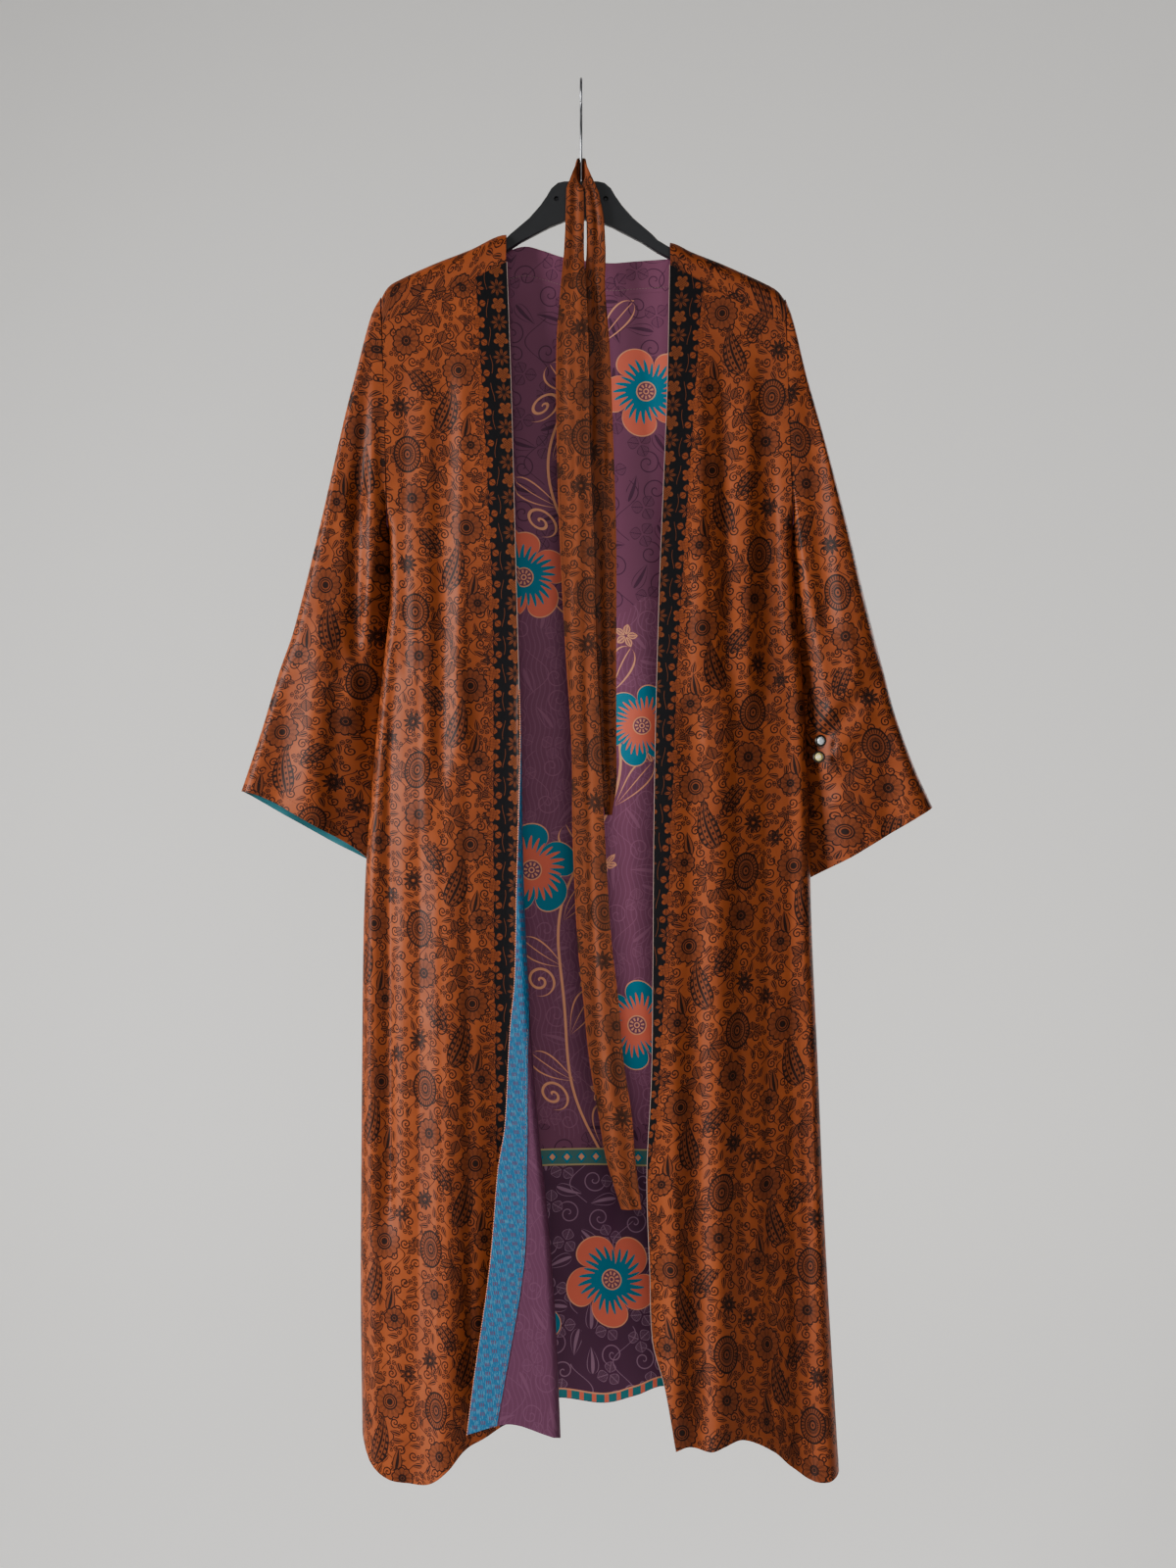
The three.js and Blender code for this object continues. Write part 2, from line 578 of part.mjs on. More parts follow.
// ---- sleeves -------------------------------------------------------------------------
// Distances across a flattened sleeve, close together round its two edges.
function stations(length, outerRoll, innerRoll) {
  const start = SIDE_STEPS.map((degrees) => outerRoll * (1 - Math.cos(radians(degrees))));
  const end = SIDE_STEPS.map((degrees) => length - innerRoll * (1 - Math.cos(radians(degrees))));
  const flat = [];
  for (let i = 1; i < SLEEVE_FLAT; i += 1) {
    flat.push(lerp(outerRoll, length - innerRoll, i / SLEEVE_FLAT));
  }
  return [...start, ...flat, ...end.reverse()];
}

function sleeveRing(half, t) {
  const outerDrop = lerp(half.tip.drop, half.cuff.outer, t);
  const innerDrop = lerp(UNDERARM_DROP, half.cuff.inner, t);
  const outer = new THREE.Vector2(read(half.sleeve, 'drop', 'x', outerDrop), outerDrop);
  const shape = (column) => read(SLEEVE_SHAPE, 'along', column, t);
  const [clear, thickness, centre] = [shape('clear'), shape('half'), shape('centre')];
  const [innerRoll, free] = [shape('roll'), shape('free')];
  const inner = new THREE.Vector2(sideX(half, innerDrop) + half.outward * clear, innerDrop);
  const length = outer.distanceTo(inner);
  const place = (distance, front) => {
    const s = distance / length;
    const share = roll(distance, CREST) * roll(length - distance, innerRoll);
    const flat = outer.clone().lerp(inner, s);
    const bow = ARMHOLE_BOW * (1 - free) * Math.sin(Math.PI * s);
    const edges = 1 - (2 * s - 1) ** 4;
    const lift = front < 0 ? half.cuff.lift * edges * shape('lifted') : 0;
    const x = flat.x - half.outward * bow;
    const foldX = front < 0 ? flat.x : flat.x + BACK_FOLD_SHIFT * half.outward;
    const folds = (front < 0 ? 1 : BACK_FOLD_SHARE) * foldHeight(half.sleeveFolds, foldX, flat.y);
    const y = centre + front * share * (thickness + free * folds);
    return new THREE.Vector3(x, y, -flat.y + lift);
  };
  const across = stations(length, CREST, innerRoll);
  // A ring goes over the back of the left sleeve first, and over the front of the right one.
  const there = across.map((distance) => place(distance, -half.outward));
  const back = across.slice(1, -1).reverse().map((distance) => place(distance, half.outward));
  return [...there, ...back];
}

function sleeveGrid(half) {
  const rings = [];
  for (let ring = 0; ring <= SLEEVE_RINGS; ring += 1) {
    rings.push(sleeveRing(half, ring / SLEEVE_RINGS));
  }
  return rings;
}

// ---- sash ----------------------------------------------------------------------------
// A line across the sash. Its gathers stand forward, and die out where it stands on edge.
function sashLine(upper, lower, phase) {
  const across = lower.clone().sub(upper);
  const flatness = Math.abs(across.x) / across.length();
  const line = [];
  for (let i = 0; i <= SASH_COLUMNS; i += 1) {
    const t = i / SASH_COLUMNS;
    const wave = Math.sin(Math.PI * (SASH_WAVES * t + phase)) * Math.sin(Math.PI * t);
    const point = upper.clone().addScaledVector(across, t);
    point.y -= SASH_RIPPLE * flatness * wave;
    line.push(point);
  }
  return line;
}

function sashGrid() {
  const tail = (row, outside, inside, phase) => sashLine(
    new THREE.Vector3(row[outside], row.y, -row.drop),
    new THREE.Vector3(row[inside], row.y, -row.drop),
    phase,
  );
  const loop = (row, side) => sashLine(
    new THREE.Vector3(side * row.ux, row.uy, -row.udrop),
    new THREE.Vector3(side * row.lx, row.ly, -row.ldrop),
    0,
  );
  const rising = [...LONG_TAIL].reverse().map((row) => tail(row, 'x1', 'x2', row.drop / SASH_DRIFT));
  const over = LOOP.map((row) => loop(row, -1));
  const under = LOOP.slice(0, -1).reverse().map((row) => loop(row, 1));
  const falling = SHORT_TAIL.map((row) => tail(row, 'x2', 'x1', row.drop / SASH_DRIFT));
  return [...rising, ...over, ...under, ...falling];
}

// ---- hanger and hook -----------------------------------------------------------------
function hangerGeometry() {
  const right = [...HANGER_TOP, ...HANGER_BOTTOM].map((row) => new THREE.Vector2(row.x, -row.drop));
  const left = right.filter((point) => point.x > 0).reverse()
    .map((point) => new THREE.Vector2(-point.x, point.y));
  const outline = new THREE.Shape([...right, ...left]);
  for (const side of [-1, 1]) {
    const hole = new THREE.Path();
    hole.absarc(side * PIN_HOLE.x, -PIN_HOLE.drop, PIN_HOLE.radius, 0, Math.PI * 2);
    outline.holes.push(hole);
  }
  const geometry = new THREE.ExtrudeGeometry(outline, {
    depth: HANGER_BODY - 2 * HANGER_BEVEL,
    bevelEnabled: true,
    bevelThickness: HANGER_BEVEL,
    bevelSize: HANGER_EDGE,
    bevelOffset: -HANGER_EDGE,
    bevelSegments: 1,
    curveSegments: 8,
  });
  geometry.rotateX(Math.PI / 2);
  geometry.translate(0, HANGER_BODY / 2 - HANGER_BEVEL, 0);
  return geometry;
}

// The wire from the hanger's top up the shank and round the crook, in the plane x = 0.
function hookPath() {
  const centreZ = WIRE_RADIUS - CROOK_RADIUS;
  const foot = -HANGER_TOP[0].drop + SEAM_GAP;
  const points = [0, 0.5, 1].map((t) => new THREE.Vector3(0, 0, lerp(foot, -SHANK_STRAIGHT, t)));
  for (let degrees = CROOK_FROM; degrees <= CROOK_TO; degrees += CROOK_STEP) {
    const angle = radians(degrees);
    const y = CROOK_RADIUS * Math.cos(angle);
    points.push(new THREE.Vector3(0, y, centreZ + CROOK_RADIUS * Math.sin(angle)));
  }
  return new THREE.CatmullRomCurve3(points);
}

function hookGeometry() {
  const section = new THREE.Shape();
  section.absarc(0, 0, WIRE_RADIUS, 0, Math.PI * 2);
  return new THREE.ExtrudeGeometry(section, {
    steps: HOOK_STEPS,
    bevelEnabled: false,
    curveSegments: 5,
    extrudePath: hookPath(),
  });
}

// ---- studs ---------------------------------------------------------------------------
function studGeometry() {
  const profile = STUD_PROFILE.map(({ radius, height }) => new THREE.Vector2(radius, height));
  return new THREE.LatheGeometry(profile, STUD_SIDES);
}

// The plane that a round trim lies on, seen from the front: its point and its normal.
function seatOn(mesh, x, drop, radius) {
  const depthAt = (offsetX, offsetZ) => {
    const from = new THREE.Vector3(x + offsetX, IN_FRONT, offsetZ - drop);
    const hits = new THREE.Raycaster(from, new THREE.Vector3(0, 1, 0)).intersectObject(mesh);
    return hits[0].point.y;
  };
  const slopeX = (depthAt(radius, 0) - depthAt(-radius, 0)) / (2 * radius);
  const slopeZ = (depthAt(0, radius) - depthAt(0, -radius)) / (2 * radius);
  let rise = 0;
  for (let i = 0; i < STUD_SIDES; i += 1) {
    const angle = (i / STUD_SIDES) * Math.PI * 2;
    for (const r of [0, radius / 2, radius]) {
      const dx = r * Math.cos(angle);
      const dz = r * Math.sin(angle);
      rise = Math.min(rise, depthAt(dx, dz) - depthAt(0, 0) - slopeX * dx - slopeZ * dz);
    }
  }
  return {
    point: new THREE.Vector3(x, depthAt(0, 0) + rise, -drop),
    normal: new THREE.Vector3(slopeX, -1, slopeZ).normalize(),
  };
}

// ---- the model -----------------------------------------------------------------------
const robe = new THREE.Group();

function piece(name, geometry, colour, roughness, metalness = 0) {
  const material = new THREE.MeshStandardMaterial({ color: colour, roughness, metalness });
  const mesh = new THREE.Mesh(geometry, material);
  mesh.name = name;
  robe.add(mesh);
  return mesh;
}

const RUST = '#9c4a1e';
const PLUM = '#563549';
const BLUE = '#3f8fb5';
const TEAL = '#235a63';
const BLACK = '#17181b';
const clothFace = CLOTH / 2;
const liningOut = -clothFace - SEAM_GAP;
const liningIn = liningOut - LINING;

const back = surface(backGrid());
const overShoulder = (r, c) => r >= RIDGE_STEPS.length || c < NECK_START || c >= NECK_END;
piece('back', wall(back, -clothFace, clothFace, overShoulder), RUST, 0.45);

const facingEnd = RIDGE_STEPS.length + FACING_ROW;
const seam = SEAM_GAP / 2;
const facing = cut(back, { rows: [0, facingEnd], trim: { bottom: seam } });
piece('neck_facing', wall(facing, liningIn, liningOut, overShoulder), PLUM, 0.5);
const backInside = cut(back, {
  rows: [facingEnd, back.points.length - 1],
  trim: { top: seam, start: SIDE_TRIM, end: SIDE_TRIM },
});
piece('back_lining', wall(backInside, liningIn, liningOut), PLUM, 0.5);

const leftFront = surface(leftFrontGrid());
piece('front_left', wall(leftFront, -clothFace, clothFace), RUST, 0.45);
piece('front_right', wall(surface(rightFrontGrid()), -clothFace, clothFace), RUST, 0.45);

const lastColumn = leftFront.points[0].length - 1;
const strip = cut(leftFront, { columns: [0, FACING_COLUMNS], trim: { end: TURN_TRIM } });
piece('facing_left', wall(strip, liningIn, liningOut), BLUE, 0.5);
const inside = cut(leftFront, {
  columns: [FACING_COLUMNS, lastColumn],
  trim: { start: TURN_TRIM, end: SIDE_TRIM },
});
piece('front_left_lining', wall(inside, liningIn, liningOut), PLUM, 0.5);

const sleeves = {
  left: surface(sleeveGrid(LEFT), true),
  right: surface(sleeveGrid(RIGHT), true),
};
for (const [side, sleeve] of Object.entries(sleeves)) {
  sleeve.mesh = piece(`sleeve_${side}`, wall(sleeve, -clothFace, clothFace), RUST, 0.45);
  const cuff = cut(sleeve, { rows: [SLEEVE_RINGS - CUFF_LINING_RINGS, SLEEVE_RINGS] });
  piece(`cuff_lining_${side}`, wall(cuff, liningIn, liningOut), TEAL, 0.5);
}

piece('belt', wall(surface(sashGrid()), -SASH_WALL / 2, SASH_WALL / 2), RUST, 0.5);
piece('hanger', hangerGeometry(), BLACK, 0.5);
piece('hook', hookGeometry(), '#8a8d90', 0.3, 1);

for (const stud of STUDS) {
  const seat = seatOn(sleeves.right.mesh, stud.x, stud.drop, STUD_RADIUS);
  const mesh = piece(stud.name, studGeometry(), BLACK, 0.2);
  mesh.quaternion.setFromUnitVectors(new THREE.Vector3(0, 1, 0), seat.normal);
  mesh.position.copy(seat.point).addScaledVector(seat.normal, SEAM_GAP);
}

export default robe;
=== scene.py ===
# %% [markdown]
# # A long printed silk robe on a hanger
# The robe is rebuilt as thin sheets of cloth over a fixed frame of plain solids. Each cell
# says what a piece or a finish is on a real robe, and how it is made here.

# %% Load the frame
import math
import bmesh
import bpy
import numpy as np
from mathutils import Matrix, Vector


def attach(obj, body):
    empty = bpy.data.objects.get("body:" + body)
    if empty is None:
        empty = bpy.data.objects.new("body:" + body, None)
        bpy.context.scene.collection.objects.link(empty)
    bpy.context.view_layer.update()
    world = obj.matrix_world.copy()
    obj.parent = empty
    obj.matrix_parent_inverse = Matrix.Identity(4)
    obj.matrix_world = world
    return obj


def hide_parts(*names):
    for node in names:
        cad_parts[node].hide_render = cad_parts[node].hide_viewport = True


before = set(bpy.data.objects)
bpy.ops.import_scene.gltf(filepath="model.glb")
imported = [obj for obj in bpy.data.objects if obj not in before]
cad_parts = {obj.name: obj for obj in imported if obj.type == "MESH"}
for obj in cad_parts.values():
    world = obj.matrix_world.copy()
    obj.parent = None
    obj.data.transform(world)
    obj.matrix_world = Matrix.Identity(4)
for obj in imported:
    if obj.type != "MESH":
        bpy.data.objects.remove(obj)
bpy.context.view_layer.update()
MM = 0.001

# %% [markdown]
# The robe's sizes are short tables, one row for each height or fold, in millimetres. A
# "drop" is a distance down from the inside of the hook's crown, where a rail carries the
# hanger. Left is -X as seen from the front. A smooth curve runs through each table's rows.

# %% Tables and the curve through them
UNDERARM = 480.0
CREST = 14.0
SEAM_GAP = 0.3
TURN_RADIUS = 6.0
INNER_ROLL = 7.0
UNDERARM_ROUND = 40.0
YOKE_CALM = 90.0
ROLL_SHARE = 0.1
BACK_ROLL_SHARE = 0.05
TURN_LEAST = 44.0
TURN_LIFT = 0.03
FACING_DROP_SHARE = 0.12
NECK_LEFT, NECK_RIGHT = -80.0, 95.0


def ease(value):
    t = np.clip(value, 0, 1)
    return t * t * (3 - 2 * t)


def mix(a, b, t):
    return a + (b - a) * t


def quarter(distance, radius):
    """Height of a quarter circle, as a share of 1, this far in from where it starts."""
    return np.sqrt(1 - np.clip(1 - distance / radius, 0, 1) ** 2)


class Table:
    """Rows of named columns, read on a smooth curve by their first column."""

    def __init__(self, columns, rows):
        self.columns = columns.split()
        self.rows = np.array(rows, float)

    def column(self, name):
        return self.rows[:, self.columns.index(name)]

    def __call__(self, name, at):
        key, value = self.rows[:, 0], self.column(name)
        at = np.clip(np.asarray(at, float), key[0], key[-1])
        i = np.clip(np.searchsorted(key, at, side="right") - 1, 0, len(key) - 2)
        before, after = np.maximum(np.arange(len(key)) - 1, 0), np.arange(len(key)) + 1
        after = np.minimum(after, len(key) - 1)
        slope = (value[after] - value[before]) / (key[after] - key[before])
        span = key[i + 1] - key[i]
        t = (at - key[i]) / span
        start = (1 + 2 * t) * (1 - t) ** 2 * value[i]
        end = t * t * (3 - 2 * t) * value[i + 1]
        return start + end + t * (1 - t) * span * ((1 - t) * slope[i] - t * slope[i + 1])


DEPTH = Table("drop side edge back", [
    (160, 13.5, 13.5, 13), (480, 14, 25, 17), (800, 18, 40, 25), (1150, 26, 56, 34), (1480, 34, 69, 42)])
TURN_BACK = Table("drop cloth facing", [
    (610, 0, 20), (650, 5, 20), (700, 11, 20), (850, 18.5, 20), (955, 25, 20), (1010, 33, 20),
    (1110, 46, 24), (1160, 59, 31), (1260, 77, 37), (1360, 97, 35), (1437, 110, 31)])
TURNED_HEM = Table("at drop", [(0, 1435), (0.2, 1430), (0.6, 1417), (1, 1427)])
BACK_HEM = Table("at drop", [
    (0, 1444), (0.15, 1436), (0.4, 1421), (0.51, 1428), (0.58, 1418), (0.64, 1408),
    (0.74, 1424), (0.88, 1458), (1, 1486)])
RIDGE = Table("x drop", [
    (-213, 232), (-209, 224.5), (-203, 218), (-161, 198), (-119, 181.5), (-80, 165),
    (95, 173.5), (119, 184), (154, 198), (200, 219), (211, 226), (217, 234)])
NECKLINE = Table("x drop", [
    (-80, 179), (-60, 174), (-40, 179), (-22, 185), (0, 189), (31, 192), (60, 190), (95, 187.5)])
SLEEVE_SHAPE = Table("along clear half centre roll free lifted", [
    (0, 1.9, 14, 0, UNDERARM_ROUND, 0, 0), (0.1, 2.2, 14.5, 0.2, 24, 0.9, 0),
    (0.2, 2.6, 15.5, 0.5, INNER_ROLL, 1, 0), (0.4, 2.6, 17, 1.5, INNER_ROLL, 1, 0),
    (0.6, 2.6, 17, 2.5, INNER_ROLL, 1, 0), (0.8, 2.6, 15.5, 3.5, INNER_ROLL, 1, 0.5),
    (1, 2.6, 14, 4, INNER_ROLL, 1, 1)])


class Half:
    """One side of the robe: its front, its sleeve and their folds."""

    def __init__(self, **facts):
        self.__dict__.update(facts)

    def side(self, drop):
        t = np.clip((drop - self.tip[1]) / (UNDERARM - self.tip[1]), 0, 1)
        above = mix(self.tip[0], self.underarm, t)
        return np.where(drop > UNDERARM, self.sides("x", drop), above)


LEFT = Half(
    tip=(-213, 232), underarm=-206, seam_at_neck=197, seam_at_arm=262, outward=-1,
    cuff=(761, 836, 9),
    sides=Table("drop x", [
        (480, -206), (560, -205), (630, -212), (700, -219), (770, -225), (835, -230),
        (910, -233), (1100, -235), (1300, -236), (1446, -234)]),
    edge=Table("drop x", [
        (197, -79), (336, -74), (545, -68.5), (700, -64.5), (860, -61.5), (1010, -54),
        (1112, -46), (1214, -35), (1315, -27.5), (1437, -22)]),
    hem=Table("at drop", [
        (0, 1444), (0.05, 1469), (0.13, 1485), (0.22, 1490), (0.35, 1489), (0.46, 1472),
        (0.54, 1453), (0.65, 1441), (0.78, 1427), (0.9, 1430), (1, 1435)]),
    sleeve=Table("drop x", [
        (232, -214.4), (250, -224), (300, -237.5), (360, -253), (474, -279), (588, -308),
        (634, -324), (694, -342), (761, -364.5)]))
RIGHT = Half(
    tip=(217, 234), underarm=226, seam_at_neck=200, seam_at_arm=266, outward=1,
    cuff=(778, 856, 0),
    sides=Table("drop x", [
        (480, 226), (584, 231), (638, 237), (753, 243), (909, 247), (1065, 254),
        (1168, 258), (1271, 263), (1375, 269), (1490, 276)]),
    edge=Table("drop x", [
        (200, 94.5), (336, 91.5), (545, 83), (753, 77.5), (959, 75.5), (1061, 74), (1163, 69),
        (1265, 72), (1336, 75), (1380, 87), (1448, 99)]),
    hem=Table("at drop", [
        (0, 1486), (0.09, 1492), (0.19, 1490), (0.3, 1475), (0.4, 1457), (0.58, 1440),
        (0.7, 1443), (0.8, 1449), (0.92, 1444), (1, 1448)]),
    sleeve=Table("drop x", [
        (234, 218.4), (254, 226), (314, 241), (382, 260), (472, 284), (543, 301), (606, 317),
        (631, 324), (676, 336), (734, 357), (778, 377)]))
print("front edges at the hem", float(LEFT.edge("x", 1437)), float(RIGHT.edge("x", 1448)))

# %% [markdown]
# Silk on a hanger falls in long soft ridges and troughs that start small near the shoulder
# and grow downwards. A simulation would move the outline, so each fold is a row of a table:
# a straight run, a width and a height. The wide folds of the back and the right sleeve are
# the frame's own. On the fronts and the left sleeve some are drawn deeper or lie beside the
# frame's, since loose cloth is free to drape. The narrow creases stay under about 3 mm, so
# that they keep clear of the next cloth. A weak wander with no repeat keeps any stretch from
# being flat.

# %% Folds and creases
FOLD_COLUMNS = "x1 drop1 x2 drop2 width height"
LEFT.folds = Table(FOLD_COLUMNS, [
    (-203, 620, -206, 1200, 11, -7), (-183, 480, -184, 1440, 15, 5),
    (-178, 700, -180, 1500, 13, -4), (-146, 640, -144, 1500, 20, 11),
    (-81, 600, -77, 1460, 34, -24), (-205, 600, -203, 1190, 4, -2.4),
    (-160, 1150, -156, 1420, 4, -2.2),
    (-168, 300, -168, 780, 13, 5), (-145, 300, -148, 720, 11, -6), (-124, 330, -126, 700, 10, 4),
    (-150, 290, -142, 520, 7, 1.2), (-118, 330, -122, 640, 6, -1.4), (-190, 330, -186, 620, 6, -1.6),
    (-172, 560, -170, 1300, 5, -1.8), (-146, 620, -147, 1400, 5, -1.6), (-120, 760, -116, 1460, 6, -1.8),
    (-176, 1000, -130, 1030, 7, 1.1), (-150, 1180, -112, 1196, 6, -1.1), (-200, 860, -170, 880, 6, -1)])
RIGHT.folds = Table(FOLD_COLUMNS, [
    (97, 1040, 100, 1400, 12, 8), (118, 700, 128, 1470, 14, -7),
    (146, 560, 142, 1450, 19, 11), (214, 480, 228, 1480, 32, -9), (238, 1000, 232, 1480, 11, -5),
    (239, 1000, 244, 1480, 5, -3), (104, 1200, 116, 1290, 4, -2), (126, 300, 124, 640, 9, 4),
    (152, 300, 154, 620, 9, -5), (176, 290, 178, 640, 10, 5), (198, 300, 204, 620, 10, -4),
    (150, 300, 160, 560, 7, -1.4), (128, 330, 133, 700, 6, 1.2), (190, 330, 196, 660, 6, -1.5),
    (163, 600, 170, 1300, 5, -1.7), (196, 760, 200, 1420, 5, -1.6), (222, 640, 226, 1340, 5, -1.6),
    (96, 1058, 116, 1076, 4, -1.3), (92, 1150, 104, 1166, 4, -1.2), (110, 1340, 140, 1352, 5, 1.1)])
BACK_FOLDS = Table(FOLD_COLUMNS, [
    (-180, 520, -186, 1440, 24, 6), (-140, 600, -146, 1440, 24, -5),
    (-95, 420, -104, 1440, 26, 6), (-48, 640, -50, 1430, 26, -4),
    (10, 480, 14, 1430, 30, 4), (62, 600, 68, 1410, 26, -5),
    (112, 440, 122, 1430, 26, 6), (160, 600, 176, 1450, 24, -5),
    (205, 560, 224, 1470, 22, 6),
    (-120, 380, -126, 1300, 7, -1.6), (-30, 420, -34, 1380, 8, 1.4), (36, 520, 40, 1400, 7, -1.4),
    (88, 460, 96, 1380, 7, 1.5), (140, 700, 150, 1420, 6, -1.5), (-70, 900, -40, 930, 9, 1.2)])
LEFT.sleeve_folds = Table(FOLD_COLUMNS, [
    (-223, 290, -238, 450, 8, -6), (-238, 450, -240, 590, 9, -8), (-240, 590, -230, 690, 8, -6),
    (-221, 320, -224, 560, 9, 6), (-262, 480, -288, 760, 17, 8), (-312, 560, -328, 790, 14, -5),
    (-256, 600, -262, 800, 13, -6),
    (-250, 380, -272, 560, 6, -1.4), (-300, 600, -250, 650, 6, 1.3), (-330, 700, -270, 742, 6, -1.3),
    (-252, 700, -262, 800, 6, 1.4)])
RIGHT.sleeve_folds = Table(FOLD_COLUMNS, [
    (285, 650, 252, 695, 9, 5), (318, 640, 262, 700, 9, -6), (300, 680, 252, 745, 10, 6),
    (262, 420, 292, 620, 15, 6), (244, 330, 262, 560, 12, -6), (330, 690, 330, 790, 14, -5),
    (252, 330, 275, 500, 5, 1.3), (270, 480, 300, 640, 5, -1.5), (300, 742, 256, 790, 6, 1.6),
    (286, 640, 256, 672, 5, -1.5), (340, 720, 352, 790, 6, 1.5), (310, 780, 300, 830, 7, -1.5)])
FOLD_START, FOLD_FADE = 0.45, 3.0
FREE_FROM, FREE_OVER = 4.0, 16.0
BACK_SEED, SLEEVE_SEED, SASH_SEED = 3.0, 5, 7.0


def fold_height(folds, x, drop):
    """Height of all folds of a table at places in the front plane."""
    height = np.zeros(np.broadcast(x, drop).shape)
    for x1, drop1, x2, drop2, width, high in folds.rows:
        run_x, run_drop = x2 - x1, drop2 - drop1
        along = ((x - x1) * run_x + (drop - drop1) * run_drop) / (run_x ** 2 + run_drop ** 2)
        t = np.clip(along, 0, 1)
        fade = FOLD_FADE if abs(run_drop) > abs(run_x) else 1.0
        away = np.hypot((x - x1 - t * run_x) / (1.0 if fade > 1 else FOLD_FADE),
                        (drop - drop1 - t * run_drop) / fade)
        height += high * mix(FOLD_START, 1, ease(along)) * np.exp(-((away / width) ** 2))
    return height


def wander(x, drop, seed):
    """A weak unevenness, under 1 mm, from a few waves whose lengths share no repeat."""
    wave = np.sin(x / 17.3 + seed + 1.7 * np.sin(drop / 210 + seed))
    wave = wave + 0.6 * np.sin(x / 9.1 - 2 * seed + 2.3 * np.sin(drop / 137 - seed))
    return 0.42 * wave * (0.6 + 0.4 * np.sin(drop / 61 + x / 31 + seed))


sample = fold_height(RIGHT.folds, np.array([156.0]), np.array([1200.0]))
print("a ridge of the right front stands", round(float(sample[0]), 2), "mm")

# %% [markdown]
# Each cloth is worked out as a grid of points, a row for each height and a column for each
# place across. The side seams roll round a quarter circle from the front to the back, so
# their columns stand close together. The fronts hang from the shoulder seam to the hem.

# %% Grids of the fronts
ROLL_DEGREES = np.arange(0, 91, 15.0)
FRONT_FLAT = 62
ARM_ROWS, SKIRT_ROWS = 52, 176


def rows_down(top, hem, arm_shares=None):
    """Drops of every row: down to the underarm, then down to the hem."""
    arm = np.linspace(0, 1, ARM_ROWS) if arm_shares is None else arm_shares
    arm, skirt = arm[:, None], np.linspace(0, 1, SKIRT_ROWS)[1:, None]
    return np.concatenate([mix(top, UNDERARM, arm), mix(UNDERARM, hem, skirt)])


def side_share(degrees, drop):
    """Share of the depth at a step of the side's roll. The armhole stays open."""
    opened = quarter(UNDERARM - drop, UNDERARM_ROUND)
    return opened + (1 - opened) * np.sin(np.radians(np.minimum(degrees, 90)))


def front_columns():
    """Shares across a front, from its side to its edge, and the degrees of its roll."""
    rolled = ROLL_SHARE * (1 - np.cos(np.radians(ROLL_DEGREES)))
    flat = mix(ROLL_SHARE, 1, np.arange(1, FRONT_FLAT + 1) / FRONT_FLAT)
    degrees = np.concatenate([ROLL_DEGREES, np.full(FRONT_FLAT, 90.0)])
    return np.concatenate([rolled, flat]), degrees


def front_y(half, x, at, degrees, drop):
    from_side = np.abs(x - half.side(drop))
    calm = ease((from_side - FREE_FROM) / FREE_OVER) * ease((drop - half.seam_at_arm) / YOKE_CALM)
    depth = mix(DEPTH("side", drop), DEPTH("edge", drop), ease(at)) * side_share(degrees, drop)
    return -depth - calm * (fold_height(half.folds, x, drop) + wander(x, drop, half.outward))


def right_front():
    at, degrees = front_columns()
    seam = mix(RIGHT.seam_at_arm, RIGHT.seam_at_neck, at) + SEAM_GAP / 2
    drop = rows_down(seam, RIGHT.hem("drop", at))
    x = mix(RIGHT.side(drop), RIGHT.edge("x", drop), at)
    y = front_y(RIGHT, x, at + 0 * drop, degrees + 0 * drop, drop)
    return np.stack([x, y - SEAM_GAP, -drop], axis=-1)


TURN_FACING, TURN_REST = 10, 26


